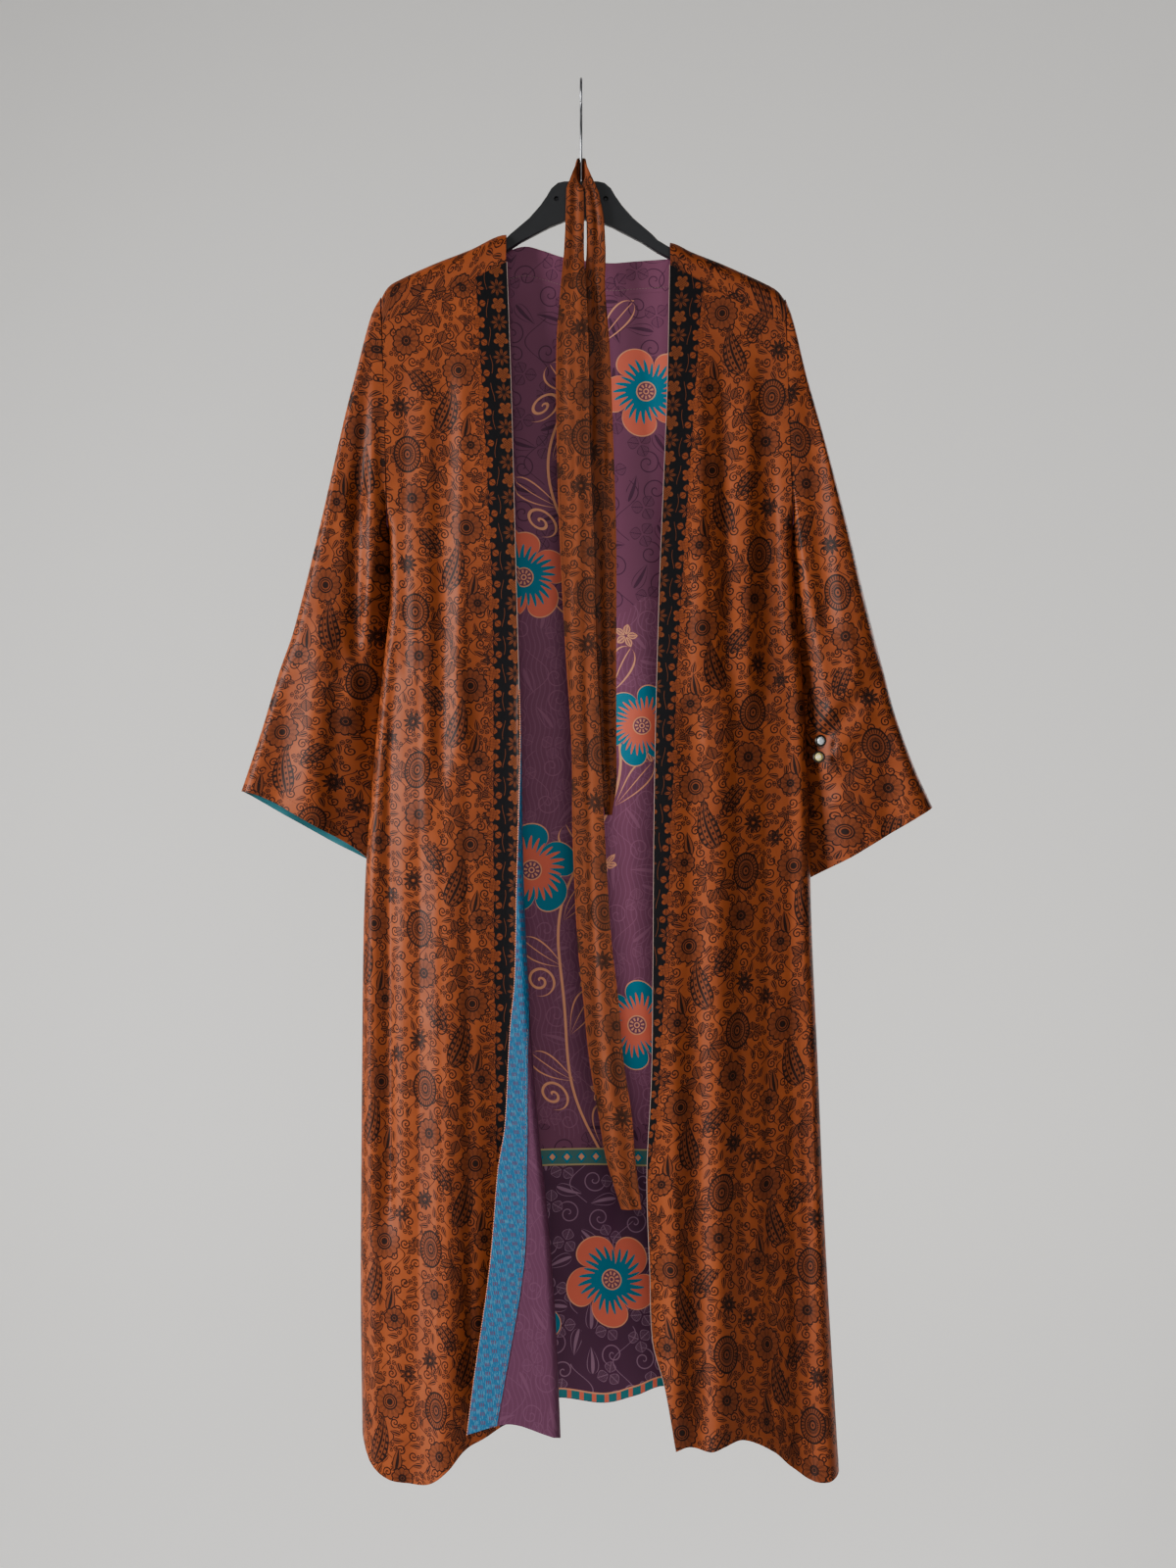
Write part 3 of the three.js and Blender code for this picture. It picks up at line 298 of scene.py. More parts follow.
def left_front():
    """From the free edge over the facing, the turn and the flat part to the side."""
    at, degrees = front_columns()
    nominal = rows_down(np.array([LEFT.seam_at_neck + SEAM_GAP / 2]), LEFT.hem("drop", np.array([1.0])))
    cloth, facing = TURN_BACK("cloth", nominal), TURN_BACK("facing", nominal)
    width = LEFT.edge("x", nominal) - LEFT.side(nominal)
    turn_end, flat_end = np.maximum(TURN_LEAST, cloth + TURN_RADIUS), cloth + width
    in_facing = facing * np.linspace(0, 1, TURN_FACING, endpoint=False)
    past = mix(facing, turn_end, np.linspace(0, 1, TURN_REST, endpoint=False))
    rest = mix(flat_end, turn_end, at[::-1])
    from_edge = np.concatenate([in_facing, past, rest], axis=1)
    degrees = np.concatenate([np.full(TURN_FACING + TURN_REST, 90.0), degrees[::-1]])
    at = np.clip(1 - (from_edge - cloth) / width, 0, 1)
    outside = np.clip(1 - from_edge / np.maximum(cloth, 1), 0, 1)
    seam = mix(LEFT.seam_at_arm, LEFT.seam_at_neck, at) + SEAM_GAP / 2
    hem = np.where(outside > 0, TURNED_HEM("drop", outside), LEFT.hem("drop", at))
    share = np.concatenate([np.linspace(0, 1, ARM_ROWS), np.linspace(0, 1, SKIRT_ROWS)[1:]])[:, None]
    arm = np.arange(len(share))[:, None] < ARM_ROWS
    drop = np.where(arm, mix(seam, UNDERARM, share), mix(UNDERARM, hem, share))
    side, edge = LEFT.side(drop), LEFT.edge("x", drop)
    cloth = TURN_BACK("cloth", drop)
    angle = np.minimum(cloth / TURN_RADIUS, np.pi / 2)
    flat_x = mix(side, edge - TURN_RADIUS * np.sin(angle), at)
    flat_y = front_y(LEFT, flat_x, (flat_x - side) / (edge - side), degrees + 0 * drop, drop)
    beyond = cloth * outside
    turned = np.clip(beyond / TURN_RADIUS, 0, np.pi)
    straight = np.maximum(beyond - np.pi * TURN_RADIUS, 0)
    x = flat_x + TURN_RADIUS * np.sin(turned) - straight
    y = flat_y - TURN_RADIUS * (1 - np.cos(turned)) - TURN_LIFT * straight
    return np.stack([x, y - SEAM_GAP, -drop], axis=-1)


front_right_grid, front_left_grid = right_front(), left_front()
print("front grids", front_right_grid.shape, front_left_grid.shape)

# %% [markdown]
# The back is cut in one with the strip that comes forward over each shoulder, so its grid
# starts at the front seam, climbs round the ridge and goes down behind. Between the two
# shoulders the neck is open, and those rows have no cloth.

# %% Grid of the back
SHOULDER_STEPS, NECK_STEPS, RIDGE_ARC = 24, 38, np.arange(-90, 90, 15.0)
FACING_ROWS = 7
BACK_ARM = np.concatenate([
    np.linspace(0, FACING_DROP_SHARE, FACING_ROWS + 1)[:-1],
    np.linspace(FACING_DROP_SHARE, 1, ARM_ROWS - FACING_ROWS + 1)])


def back_columns():
    span = RIGHT.tip[0] - LEFT.tip[0]
    neck_start, neck_end = (NECK_LEFT - LEFT.tip[0]) / span, (NECK_RIGHT - LEFT.tip[0]) / span
    rolled = BACK_ROLL_SHARE * (1 - np.cos(np.radians(ROLL_DEGREES)))
    left = np.linspace(BACK_ROLL_SHARE, neck_start, SHOULDER_STEPS + 1)[1:]
    neck = np.linspace(neck_start, neck_end, NECK_STEPS + 1)[1:]
    right = np.linspace(neck_end, 1 - BACK_ROLL_SHARE, SHOULDER_STEPS + 1)[1:-1]
    at = np.concatenate([rolled, left, neck, right, 1 - rolled[::-1]])
    flat = np.full(len(at) - 2 * len(rolled), 90.0)
    degrees = np.concatenate([ROLL_DEGREES, flat, ROLL_DEGREES[::-1]])
    start = len(rolled) + SHOULDER_STEPS - 1
    return at, degrees, start, start + NECK_STEPS


BACK_AT, BACK_DEGREES, NECK_FIRST, NECK_LAST = back_columns()


def ridge_rows():
    top_x = mix(LEFT.tip[0], RIGHT.tip[0], BACK_AT)
    on_left = BACK_AT < 0.5
    tip = np.where(on_left, LEFT.tip[0], RIGHT.tip[0])
    neck = np.where(on_left, NECK_LEFT, NECK_RIGHT)
    at_arm = np.where(on_left, LEFT.seam_at_arm, RIGHT.seam_at_arm)
    at_neck = np.where(on_left, LEFT.seam_at_neck, RIGHT.seam_at_neck)
    seam = mix(at_arm, at_neck, (top_x - tip) / (neck - tip)) - SEAM_GAP / 2
    ridge = RIDGE("drop", top_x)
    lines = [(mix(seam, ridge + CREST, t), -1.0) for t in (0, 0.33, 0.67)]
    for degrees in RIDGE_ARC:
        angle = math.radians(degrees)
        lines.append((ridge + CREST * (1 - math.cos(angle)), math.sin(angle)))
    rows = []
    for drop, y in lines:
        x = mix(LEFT.side(drop), RIGHT.side(drop), BACK_AT)
        rows.append(np.stack([x, DEPTH("side", drop) * y, -drop], axis=-1))
    return np.array(rows)


def back_rows():
    top_x = mix(LEFT.tip[0], RIGHT.tip[0], BACK_AT)
    in_neck = (top_x > NECK_LEFT) & (top_x < NECK_RIGHT)
    top = np.where(in_neck, NECKLINE("drop", top_x), RIDGE("drop", top_x) + CREST)
    drop = rows_down(top, BACK_HEM("drop", BACK_AT), BACK_ARM)
    x = mix(LEFT.side(drop), RIGHT.side(drop), BACK_AT)
    inward = np.minimum(BACK_AT, 1 - BACK_AT) * 2 + 0 * drop
    depth = mix(DEPTH("side", drop), DEPTH("back", drop), ease(inward))
    depth = depth * side_share(BACK_DEGREES + 0 * drop, drop)
    calm = ease(inward / (3 * BACK_ROLL_SHARE)) * ease((drop - LEFT.seam_at_arm) / YOKE_CALM)
    y = depth + calm * (fold_height(BACK_FOLDS, x, drop) + wander(x, drop, BACK_SEED)) + SEAM_GAP
    return np.stack([x, y, -drop], axis=-1)


over_shoulder = ridge_rows()
RIDGE_ROWS = len(over_shoulder)
back_grid = np.concatenate([over_shoulder, back_rows()])
print("back grid", back_grid.shape, "with", RIDGE_ROWS, "rows over the shoulder")

# %% [markdown]
# A sleeve is a tube: rings of points from the armhole to the cuff, flat like a pressed
# sleeve, with a rolled edge on either side. Its print is measured from the outer fold, so
# that it runs straight along the sleeve and goes on over the fold to the back. The free
# inner edge is tucked in behind the body's side seam.

# %% Grids of the sleeves
SLEEVE_FLAT, SLEEVE_RINGS, ARMHOLE_BOW = 26, 118, 1.2
BACK_FOLD_SHIFT, BACK_FOLD_SHARE = 12, 0.6
TUCK_RUN, TUCK_IN, TUCK_BACK, TUCK_THICK = 56.0, 5.4, 8.5, 3.4
TUCK_LEAD, TUCK_RAMP = 0.004, 0.045


def sleeve_ring(half, t):
    """A ring of the tube, and its flat map: across from the outer fold, and along it."""
    outer_drop, inner_drop = mix(half.tip[1], half.cuff[0], t), mix(UNDERARM, half.cuff[1], t)
    clear, thick, centre, inner_roll, free, lifted = (
        float(SLEEVE_SHAPE(name, t)) for name in SLEEVE_SHAPE.columns[1:])
    outer = np.array([float(half.sleeve("x", outer_drop)), outer_drop])
    inner = np.array([float(half.side(np.array(inner_drop))) + half.outward * clear, inner_drop])
    length = float(np.hypot(*(inner - outer)))
    bend = 1 - np.cos(np.radians(ROLL_DEGREES))
    flat = np.linspace(CREST, length - inner_roll, SLEEVE_FLAT + 1)[1:-1]
    across = np.concatenate([CREST * bend, flat, (length - inner_roll * bend)[::-1]])

    def place(distance, front):
        s = (distance / length)[:, None]
        share = quarter(distance, CREST) * quarter(length - distance, inner_roll)
        flat_point = outer + (inner - outer) * s
        s = s[:, 0]
        edges = 1 - (2 * s - 1) ** 4
        lift = half.cuff[2] * edges * lifted if front < 0 else 0
        x = flat_point[:, 0] - half.outward * ARMHOLE_BOW * (1 - free) * np.sin(np.pi * s)
        shift, grow = (0, 1) if front < 0 else (BACK_FOLD_SHIFT * half.outward, BACK_FOLD_SHARE)
        folds = fold_height(half.sleeve_folds, flat_point[:, 0] + shift, flat_point[:, 1])
        folds = folds + wander(flat_point[:, 0], flat_point[:, 1], SLEEVE_SEED + front)
        tuck = ease(1 - (length - distance) / TUCK_RUN) * ease((t + TUCK_LEAD) / TUCK_RAMP)
        x = x - half.outward * TUCK_IN * tuck
        thickness = mix(thick + free * grow * folds, TUCK_THICK, tuck)
        y = centre + TUCK_BACK * tuck + front * share * thickness
        return np.stack([x, y, lift - flat_point[:, 1]], axis=-1)

    there = place(across, -half.outward)
    back = place(across[1:-1][::-1], half.outward)
    fold_top = np.array([float(half.sleeve("x", half.tip[1])), half.tip[1]])
    fold_end = np.array([float(half.sleeve("x", half.cuff[0])), half.cuff[0]])
    fold = (fold_end - fold_top) / np.hypot(*(fold_end - fold_top))
    square = -half.outward * np.array([fold[1], -fold[0]])
    shares = across / length
    wide = np.outer(shares, inner - outer) @ square
    long = (outer - fold_top) @ fold + np.outer(shares, inner - outer) @ fold
    wide = np.concatenate([wide, -wide[1:-1][::-1], [-wide[0]]])
    long = np.concatenate([long, long[1:-1][::-1], [long[0]]])
    return np.concatenate([there, back]), np.stack([wide, long], axis=-1)


def sleeve(half):
    rings, flat = zip(*(sleeve_ring(half, t) for t in np.linspace(0, 1, SLEEVE_RINGS)))
    return np.array(rings), np.array(flat)


sleeve_left_grid, left_sleeve_flat = sleeve(LEFT)
sleeve_right_grid, right_sleeve_flat = sleeve(RIGHT)
print("sleeve grids", sleeve_left_grid.shape, sleeve_right_grid.shape)

# %% [markdown]
# The sash is one long strip, gathered lengthwise. Its two tails hang in front and its
# middle stands on edge behind the hook's shank.

# %% Grid of the sash
LONG_TAIL = Table("drop x1 x2 y", [
    (118, -15.5, 2.6, -11), (150, -16.5, 3.2, -12), (190, -18.6, 3.2, -15), (225, -21.8, 5.4, -20),
    (290, -26.3, 8, -22), (390, -26, 9.4, -23), (493, -22.8, 13.6, -23), (597, -17.6, 15.7, -23),
    (711, -10.3, 20.9, -24), (805, -9.2, 25, -24), (919, -4, 32.3, -25), (982, 2.2, 39.6, -25),
    (1044, 8.4, 44.8, -25), (1106, 18.8, 54, -25), (1150, 26.4, 57.4, -26), (1204, 42.6, 64, -26)])
SHORT_TAIL = Table("drop x1 x2 y", [
    (122, 4.8, 18.6, -10.5), (150, 5.6, 24, -11), (187, 5.6, 26, -12), (225, 3, 25.4, -12.5),
    (290, 3, 30.5, -13), (390, 6, 34.4, -13), (493, 9, 37.5, -13), (597, 10, 37.5, -13),
    (711, 14, 37.5, -13), (753, 20, 37.5, -13), (786, 26, 32.5, -13)])
LOOP = [(9.2, -9, 99.5, 1.5, -9.5, 114), (5.6, -6, 91, 4.4, -7, 109), (4.2, -2, 85, 5.2, -2, 107.5),
        (3.7, 2.4, 82, 4.6, 2.8, 107.5), (0, 4.6, 81, 0, 5.4, 107.5)]
SASH_COLUMNS, SASH_STEP, LOOP_STEPS, BRIDGE_ROWS = 20, 5.0, 4, 3
SASH_RIPPLE, SASH_WAVES, SASH_DRIFT = 1.1, 2.5, 350
SASH_CREASE, SASH_WANDER = 0.8, 0.6
GATHERS = Table(FOLD_COLUMNS, [
    (-12, 120, -16, 420, 3.5, 1.2), (-4, 130, -8, 520, 3, -1.4), (-18, 300, -10, 640, 3.5, -1.2),
    (-2, 420, 6, 900, 4, 1.2), (4, 640, 20, 1080, 4, -1.3), (14, 860, 40, 1180, 4, 1.2),
    (10, 110, 22, 260, 3, 1.8), (16, 150, 12, 380, 3, -1.8), (28, 180, 24, 420, 3, 1.4),
    (20, 380, 24, 740, 4, -1.2), (32, 420, 30, 760, 3.5, 1.2),
    (-24, 330, -6, 350, 4, 0.7), (-20, 520, 4, 530, 4, -0.7), (0, 800, 24, 812, 4, 0.7)])


def tail_lines(tail, outside, inside, drops):
    """Lines across a tail, each from its upper side in the sash's order to its lower one."""
    t = np.linspace(0, 1, SASH_COLUMNS + 1)[None, :]
    first, last = tail(outside, drops)[:, None], tail(inside, drops)[:, None]
    x, drop = mix(first, last, t), drops[:, None] + 0 * t
    wave = np.sin(np.pi * (SASH_WAVES * t + drop / SASH_DRIFT)) * np.sin(np.pi * t)
    edge = np.sin(np.pi * t) ** 0.5
    fine = edge * (fold_height(GATHERS, x, drop) + SASH_WANDER * wander(4 * x, drop, SASH_SEED))
    y = tail("y", drops)[:, None] - SASH_RIPPLE * wave - SASH_CREASE * fine
    return np.stack([x, y, -drop], axis=-1)


def loop_lines(rows, side):
    """Lines across one half of the loop over the hook: side -1 is the left half."""
    fine = np.arange((len(rows) - 1) * LOOP_STEPS + 1) / LOOP_STEPS
    ux, uy, ud, lx, ly, ld = (np.interp(fine, range(len(rows)), column) for column in zip(*rows))
    upper = np.stack([side * ux, uy, -ud], axis=-1)
    lower = np.stack([side * lx, ly, -ld], axis=-1)
    t = np.linspace(0, 1, SASH_COLUMNS + 1)[None, :, None]
    return mix(upper[:, None, :], lower[:, None, :], t)


def blend_rows(first, last, steps):
    t = np.linspace(0, 1, steps + 2)[1:-1, None, None]
    return mix(first[None], last[None], t)


def sash():
    long_top, long_end = LONG_TAIL.column("drop")[[0, -1]]
    short_top, short_end = SHORT_TAIL.column("drop")[[0, -1]]
    long_drops = np.append(np.arange(long_end, long_top, -SASH_STEP), long_top)
    short_drops = np.append(np.arange(short_top, short_end, SASH_STEP), short_end)
    rising = tail_lines(LONG_TAIL, "x1", "x2", long_drops)
    over, under = loop_lines(LOOP, -1), loop_lines(LOOP, 1)[::-1][1:]
    falling = tail_lines(SHORT_TAIL, "x2", "x1", short_drops)
    return np.concatenate([rising, blend_rows(rising[-1], over[0], BRIDGE_ROWS), over, under,
                           blend_rows(under[-1], falling[0], BRIDGE_ROWS), falling])


sash_grid = sash()
print("sash grid", sash_grid.shape)

# %% [markdown]
# A cloth becomes a mesh by laying two skins on its grid, one towards the outside and one
# towards the inside, a few tenths of a millimetre apart, and closing the rim between them.
# Both skins carry one UV map, measured in metres on the flat cloth, so that a print keeps
# its size over every fold. The print's lengthwise line is where the border begins.

# %% A cloth with two skins
def normals_of(points, closed=False):
    """Unit normals of a grid, along (next column) x (next row)."""
    if closed:
        across = np.roll(points, -1, axis=1) - np.roll(points, 1, axis=1)
    else:
        across = np.gradient(points, axis=1)
    normal = np.cross(across, np.gradient(points, axis=0))
    return normal / np.maximum(np.linalg.norm(normal, axis=-1, keepdims=True), 1e-9)


def new_piece(name, vertices, faces, materials=()):
    mesh = bpy.data.meshes.new(name)
    mesh.from_pydata([tuple(v) for v in vertices], [], [tuple(f) for f in faces])
    for material in materials:
        mesh.materials.append(material)
    piece = bpy.data.objects.new(name, mesh)
    bpy.context.collection.objects.link(piece)
    return piece


BORDER_REACH = -17.0
SHARP_DEGREES = 50


def cloth(name, points, skins, flat, materials, closed=False, keep=None, normals=None, marks=None):
    """points and flat are grids in millimetres; skins are the offsets of the inner and the
    outer skin along the normals; materials are those of the outer and the inner skin, and a
    third one for the outer skin past the border's reach, where the same print goes on. marks
    are further grids of numbers, which a finish reads by name."""
    normals = normals_of(points, closed) if normals is None else normals
    rows, columns = points.shape[:2]
    layers = [(points + normals * offset).reshape(-1, 3) * MM for offset in skins]
    cells = np.ones((rows - 1, columns if closed else columns - 1), bool)
    if keep is not None:
        cells &= keep
    r, c = np.nonzero(cells)
    d = (c + 1) % columns
    corners = np.stack([r * columns + c, r * columns + d,
                        (r + 1) * columns + d, (r + 1) * columns + c], 1)
    flat_column = np.stack([c, c + 1, c + 1, c], 1)
    flat_row = np.stack([r, r, r + 1, r + 1], 1)
    uv = flat[flat_row, flat_column] * MM
    inner = rows * columns
    faces, face_uv, slots = [corners[:, ::-1], corners + inner], [uv[:, ::-1], uv], [1, 0]
    padded = np.zeros((rows + 1, cells.shape[1] + 2), bool)
    padded[1:-1, 1:-1] = cells
    if closed:
        padded[1:-1, 0], padded[1:-1, -1] = cells[:, -1], cells[:, 0]
    for side, (down, along) in enumerate([(-1, 0), (0, 1), (1, 0), (0, -1)]):
        edge = ~padded[r + 1 + down, c + 1 + along]
        a, b = corners[edge][:, side], corners[edge][:, (side + 1) % 4]
        uv_a, uv_b = uv[edge][:, side], uv[edge][:, (side + 1) % 4]
        faces.append(np.stack([a, b, b + inner, a + inner], 1))
        face_uv.append(np.stack([uv_a, uv_b, uv_b, uv_a], 1))
        slots.append(0)
    used = np.zeros(2 * inner, bool)
    all_faces = np.concatenate(faces)
    used[all_faces.ravel()] = True
    renumber = np.cumsum(used) - 1
    piece = new_piece(name, np.concatenate(layers)[used], renumber[all_faces], materials)
    mesh = piece.data
    uv_layer = mesh.uv_layers.new(name="cloth")
    uv_layer.data.foreach_set("uv", np.concatenate(face_uv).reshape(-1))
    slot = np.concatenate([np.full(len(f), s) for f, s in zip(faces, slots)]).astype(np.int32)
    if len(materials) > 2:
        middle_u = np.concatenate(face_uv)[..., 0].mean(axis=1)
        slot[(slot == 0) & (middle_u < BORDER_REACH * MM)] = 2
    mesh.polygons.foreach_set("material_index", slot)
    mesh.polygons.foreach_set("use_smooth", np.ones(len(slot), bool))
    for mark, values in (marks or {}).items():
        layer = mesh.attributes.new(mark, "FLOAT", "POINT")
        layer.data.foreach_set("value", np.tile(values.ravel(), 2)[used].astype(np.float32))
    mesh.set_sharp_from_angle(angle=math.radians(SHARP_DEGREES))
    mesh.validate()
    mesh.update()
    return piece


def part_of(grid, rows=(0, None), columns=(0, None), trims=()):
    """Part of a grid, with its cut edges drawn in: trims are (edge, millimetres)."""
    part = grid[rows[0]:rows[1], columns[0]:columns[1]].copy()
    views = {"top": (part[0], part[1]), "bottom": (part[-1], part[-2]),
             "start": (part[:, 0], part[:, 1]), "end": (part[:, -1], part[:, -2])}
    for edge, by in trims:
        line, inner = views[edge]
        step = inner - line
        line += step / np.linalg.norm(step, axis=-1, keepdims=True) * by
    return part


def lengths_across(points):
    step = np.linalg.norm(np.diff(points, axis=1), axis=-1)
    return np.concatenate([np.zeros((len(points), 1)), np.cumsum(step, axis=1)], axis=1)


def lengths_down(points):
    step = np.linalg.norm(np.diff(points, axis=0), axis=-1)
    return np.concatenate([np.zeros((1, points.shape[1])), np.cumsum(step, axis=0)], axis=0)


def flat_area(points, keep=None):
    """Area of a grid of cloth in square metres."""
    a, b = points[:-1, :-1], points[1:, 1:]
    c, d = points[:-1, 1:], points[1:, :-1]
    cells = 0.5 * np.linalg.norm(np.cross(b - a, c - d), axis=-1)
    return float((cells if keep is None else cells * keep).sum() * MM * MM)


print("right front's area", round(flat_area(front_right_grid), 3), "m2")

# %% [markdown]
# The border is printed along the straight grain, and the front edge is cut a little off it,
# so the band narrows on its way down. The grain line below is where the border's inner
# side lies on each front. A front's flat map counts from it: positive inside the border.
# The right front is cut from another stretch of the same print.

# %% Flat maps of the cloths
LEFT_GRAIN = Table("drop x", [
    (190, -114.5), (202, -113.4), (543, -95.5), (837, -93.5), (1152, -90), (1440, -86)])
RIGHT_GRAIN = Table("drop x", [
    (190, 132), (202, 131.3), (603, 104), (782, 96.6), (943, 89.3), (1104, 80), (1200, 68),
    (1448, 84)])
RIGHT_PRINT_SHIFT = 61


def front_flat(points, grain, side):
    """Flat map of a front, counted from the grain line. It is looked for from the side seam,
    which is the first column (side 1) or the last (side -1), and may lie past the edge."""
    along, drop = lengths_across(points), -points[..., 2]
    offset = np.empty(len(points))
    for row in range(len(points)):
        x, line, down = (values[row][::side] for values in (points[..., 0], along, drop))
        past = side * (x - grain("x", down)) < 0
        found = np.nonzero(past)[0] if past.any() else [len(x) - 1]
        i = max(int(found[0]), 1)
        target = float(grain("x", down[i]))
        step = (target - x[i - 1]) / (x[i] - x[i - 1])
        offset[row] = line[i - 1] + (line[i] - line[i - 1]) * step
    return offset[:, None] - along, drop


left_u, left_v = front_flat(front_left_grid, LEFT_GRAIN, -1)
left_flat = np.stack([left_u, left_v], axis=-1)
right_u, right_v = front_flat(front_right_grid, RIGHT_GRAIN, 1)
right_flat = np.stack([-right_u, right_v + RIGHT_PRINT_SHIFT], axis=-1)
print("the border is", round(float(left_u[0, 0])), "mm wide at the neck,",
      round(float(-right_u[0, -1])), "on the right")

back_down = lengths_down(back_grid)
ridge_row = RIDGE_ROWS - len(RIDGE_ARC) + int(np.argmin(np.abs(RIDGE_ARC)))
ridge_drop = RIDGE("drop", mix(LEFT.tip[0], RIGHT.tip[0], BACK_AT))
back_v = ridge_drop[None, :] + back_down - back_down[ridge_row]
in_neck = (np.arange(len(BACK_AT)) > NECK_FIRST) & (np.arange(len(BACK_AT)) < NECK_LAST)
back_v[:, in_neck] = -back_grid[:, in_neck, 2]
back_middle = len(BACK_AT) // 2
back_u = lengths_across(back_grid)
back_u = back_u - back_u[:, back_middle:back_middle + 1] + back_grid[:, back_middle:back_middle + 1, 0]
back_u[:RIDGE_ROWS] = back_grid[:RIDGE_ROWS, :, 0]
back_flat = np.stack([back_u, back_v], axis=-1)

sash_u = lengths_across(sash_grid)
sash_v = lengths_down(sash_grid).mean(axis=1, keepdims=True) + 0 * sash_u
sash_flat = np.stack([sash_u, sash_v], axis=-1)
print("sash is", round(float(sash_v[-1, 0])), "mm long and",
      round(float(sash_u[:, -1].max())), "mm wide")

# %% [markdown]
# A finish is a tree of shader nodes. Most of a print is arithmetic on a place of the cloth,
# so a small class wraps a node's socket and lets Python's own signs add the Math nodes.
# Comparisons give 1 or 0, and a mask is a number between them. Numbers alone stay numbers.

# %% A socket that can be reckoned with
class Value:
    """An output socket in a material's tree."""

    def __init__(self, tree, socket):
        self.tree, self.socket = tree, socket

    def reckon(self, operation, *values):
        node = self.tree.nodes.new("ShaderNodeMath")
        node.operation = operation
        for slot, value in zip(node.inputs, values):
            Finish.join(self.tree, value, slot)
        return Value(self.tree, node.outputs[0])

    def math(self, operation, *others):
        return self.reckon(operation, self, *others)

    def turned_round(self, operation, first):
        return self.reckon(operation, first, self)

    def __add__(self, other): return self.math("ADD", other)
    def __radd__(self, other): return self.math("ADD", other)
    def __sub__(self, other): return self.math("SUBTRACT", other)
    def __rsub__(self, other): return self.turned_round("SUBTRACT", other)
    def __mul__(self, other): return self.math("MULTIPLY", other)
    def __rmul__(self, other): return self.math("MULTIPLY", other)
    def __truediv__(self, other): return self.math("DIVIDE", other)
    def __rtruediv__(self, other): return self.turned_round("DIVIDE", other)
    def __lt__(self, other): return self.math("LESS_THAN", other)
    def __gt__(self, other): return self.math("GREATER_THAN", other)
    def __or__(self, other): return self.math("MAXIMUM", other)
    def __and__(self, other): return self.math("MULTIPLY", other)
    def __abs__(self): return self.math("ABSOLUTE")
    def near(self, middle, half_width): return self.math("COMPARE", middle, half_width)
    def wrap(self, half): return self.math("WRAP", half, -half)
    def times_plus(self, factor, more): return self.math("MULTIPLY_ADD", factor, more)


class Finish:
    """A material, with one method that adds any node."""

    def __init__(self, name):
        self.material = bpy.data.materials.new(name)
        self.material.use_nodes = True
        self.tree = self.material.node_tree
        self.tree.nodes.clear()
        self.result = self.tree.nodes.new("ShaderNodeOutputMaterial")

    @staticmethod
    def join(tree, value, slot):
        if isinstance(value, Value):
            tree.links.new(value.socket, slot)
        elif hasattr(value, "__len__") and slot.type == "RGBA" and len(value) == 3:
            slot.default_value = (*value, 1)
        else:
            slot.default_value = value

    def add(self, kind, settings=None, inputs=None, output=0):
        node = self.tree.nodes.new("ShaderNode" + kind)
        for name, value in (settings or {}).items():
            setattr(node, name, value)
        for name, value in (inputs or {}).items():
            self.join(self.tree, value, node.inputs[name])
        return Value(self.tree, node.outputs[output])

    def blend(self, mask, below, above):
        """Colours: below where the mask is 0, above where it is 1."""
        return self.add("Mix", {"data_type": "RGBA"}, {0: mask, 6: below, 7: above}, output=2)

    def split(self, vector):
        node = self.add("SeparateXYZ", inputs={0: vector}).socket.node
        return [Value(self.tree, node.outputs[i]) for i in range(3)]

    def joined(self, x, y):
        return self.add("CombineXYZ", inputs={0: x, 1: y, 2: 0.0})

    def place(self, scale=None):
        """The place in the piece's own space, stretched where a scale is given."""
        here = self.add("TexCoord", output=3)
        return self.add("Mapping", None, {"Vector": here, "Scale": scale}) if scale else here

    def noise(self, place, scale=1.0, detail=1.0, **settings):
        return self.add("TexNoise", settings, {"Vector": place, "Scale": scale, "Detail": detail})

    def flat_noise(self, x, y, scale=1.0, detail=2.0):
        return self.noise(self.joined(x, y), scale, detail, noise_dimensions="2D")

    def surface(self, colour, roughness, normal=None, **constants):
        inputs = {"Base Color": colour, "Roughness": roughness}
        if normal is not None:
            inputs["Normal"] = normal
        inputs.update({name.replace("_", " "): value for name, value in constants.items()})
        shader = self.add("BsdfPrincipled", inputs=inputs)
        self.tree.links.new(shader.socket, self.result.inputs["Surface"])
        return self.material


def tint(red, green, blue):
    """A colour as it is given, 0 to 255, in the linear light that shaders use."""
    return tuple(((c / 255 + 0.055) / 1.055) ** 2.4 if c > 10 else c / 255 / 12.92
                 for c in (red, green, blue))


print("rust ground in linear light", [round(c, 3) for c in tint(176, 88, 42)])

# %% [markdown]
# The outer print is an all-over pattern of small flowers, medallions, paisleys, leaves and
# curls, drawn in dark brown on rust. Every motif is a few lines of arithmetic round its own
# middle: petals come from a sine of the angle, leaves from a narrow lens laid round a
# circle, a curl from a spiral. A render pays for every node at every point, so motifs of
# one kind share their nodes: a list of middles picks the one that a point is close to, and
# the kind is drawn once, round the picked middle. Each gives its lines and its shape.

# %% Motifs
OUTSIDE, NO_FACTS = (9.0, 9.0, 0.0), (6.0, 0.1, 9.0)
REACH_SLACK = 1.04


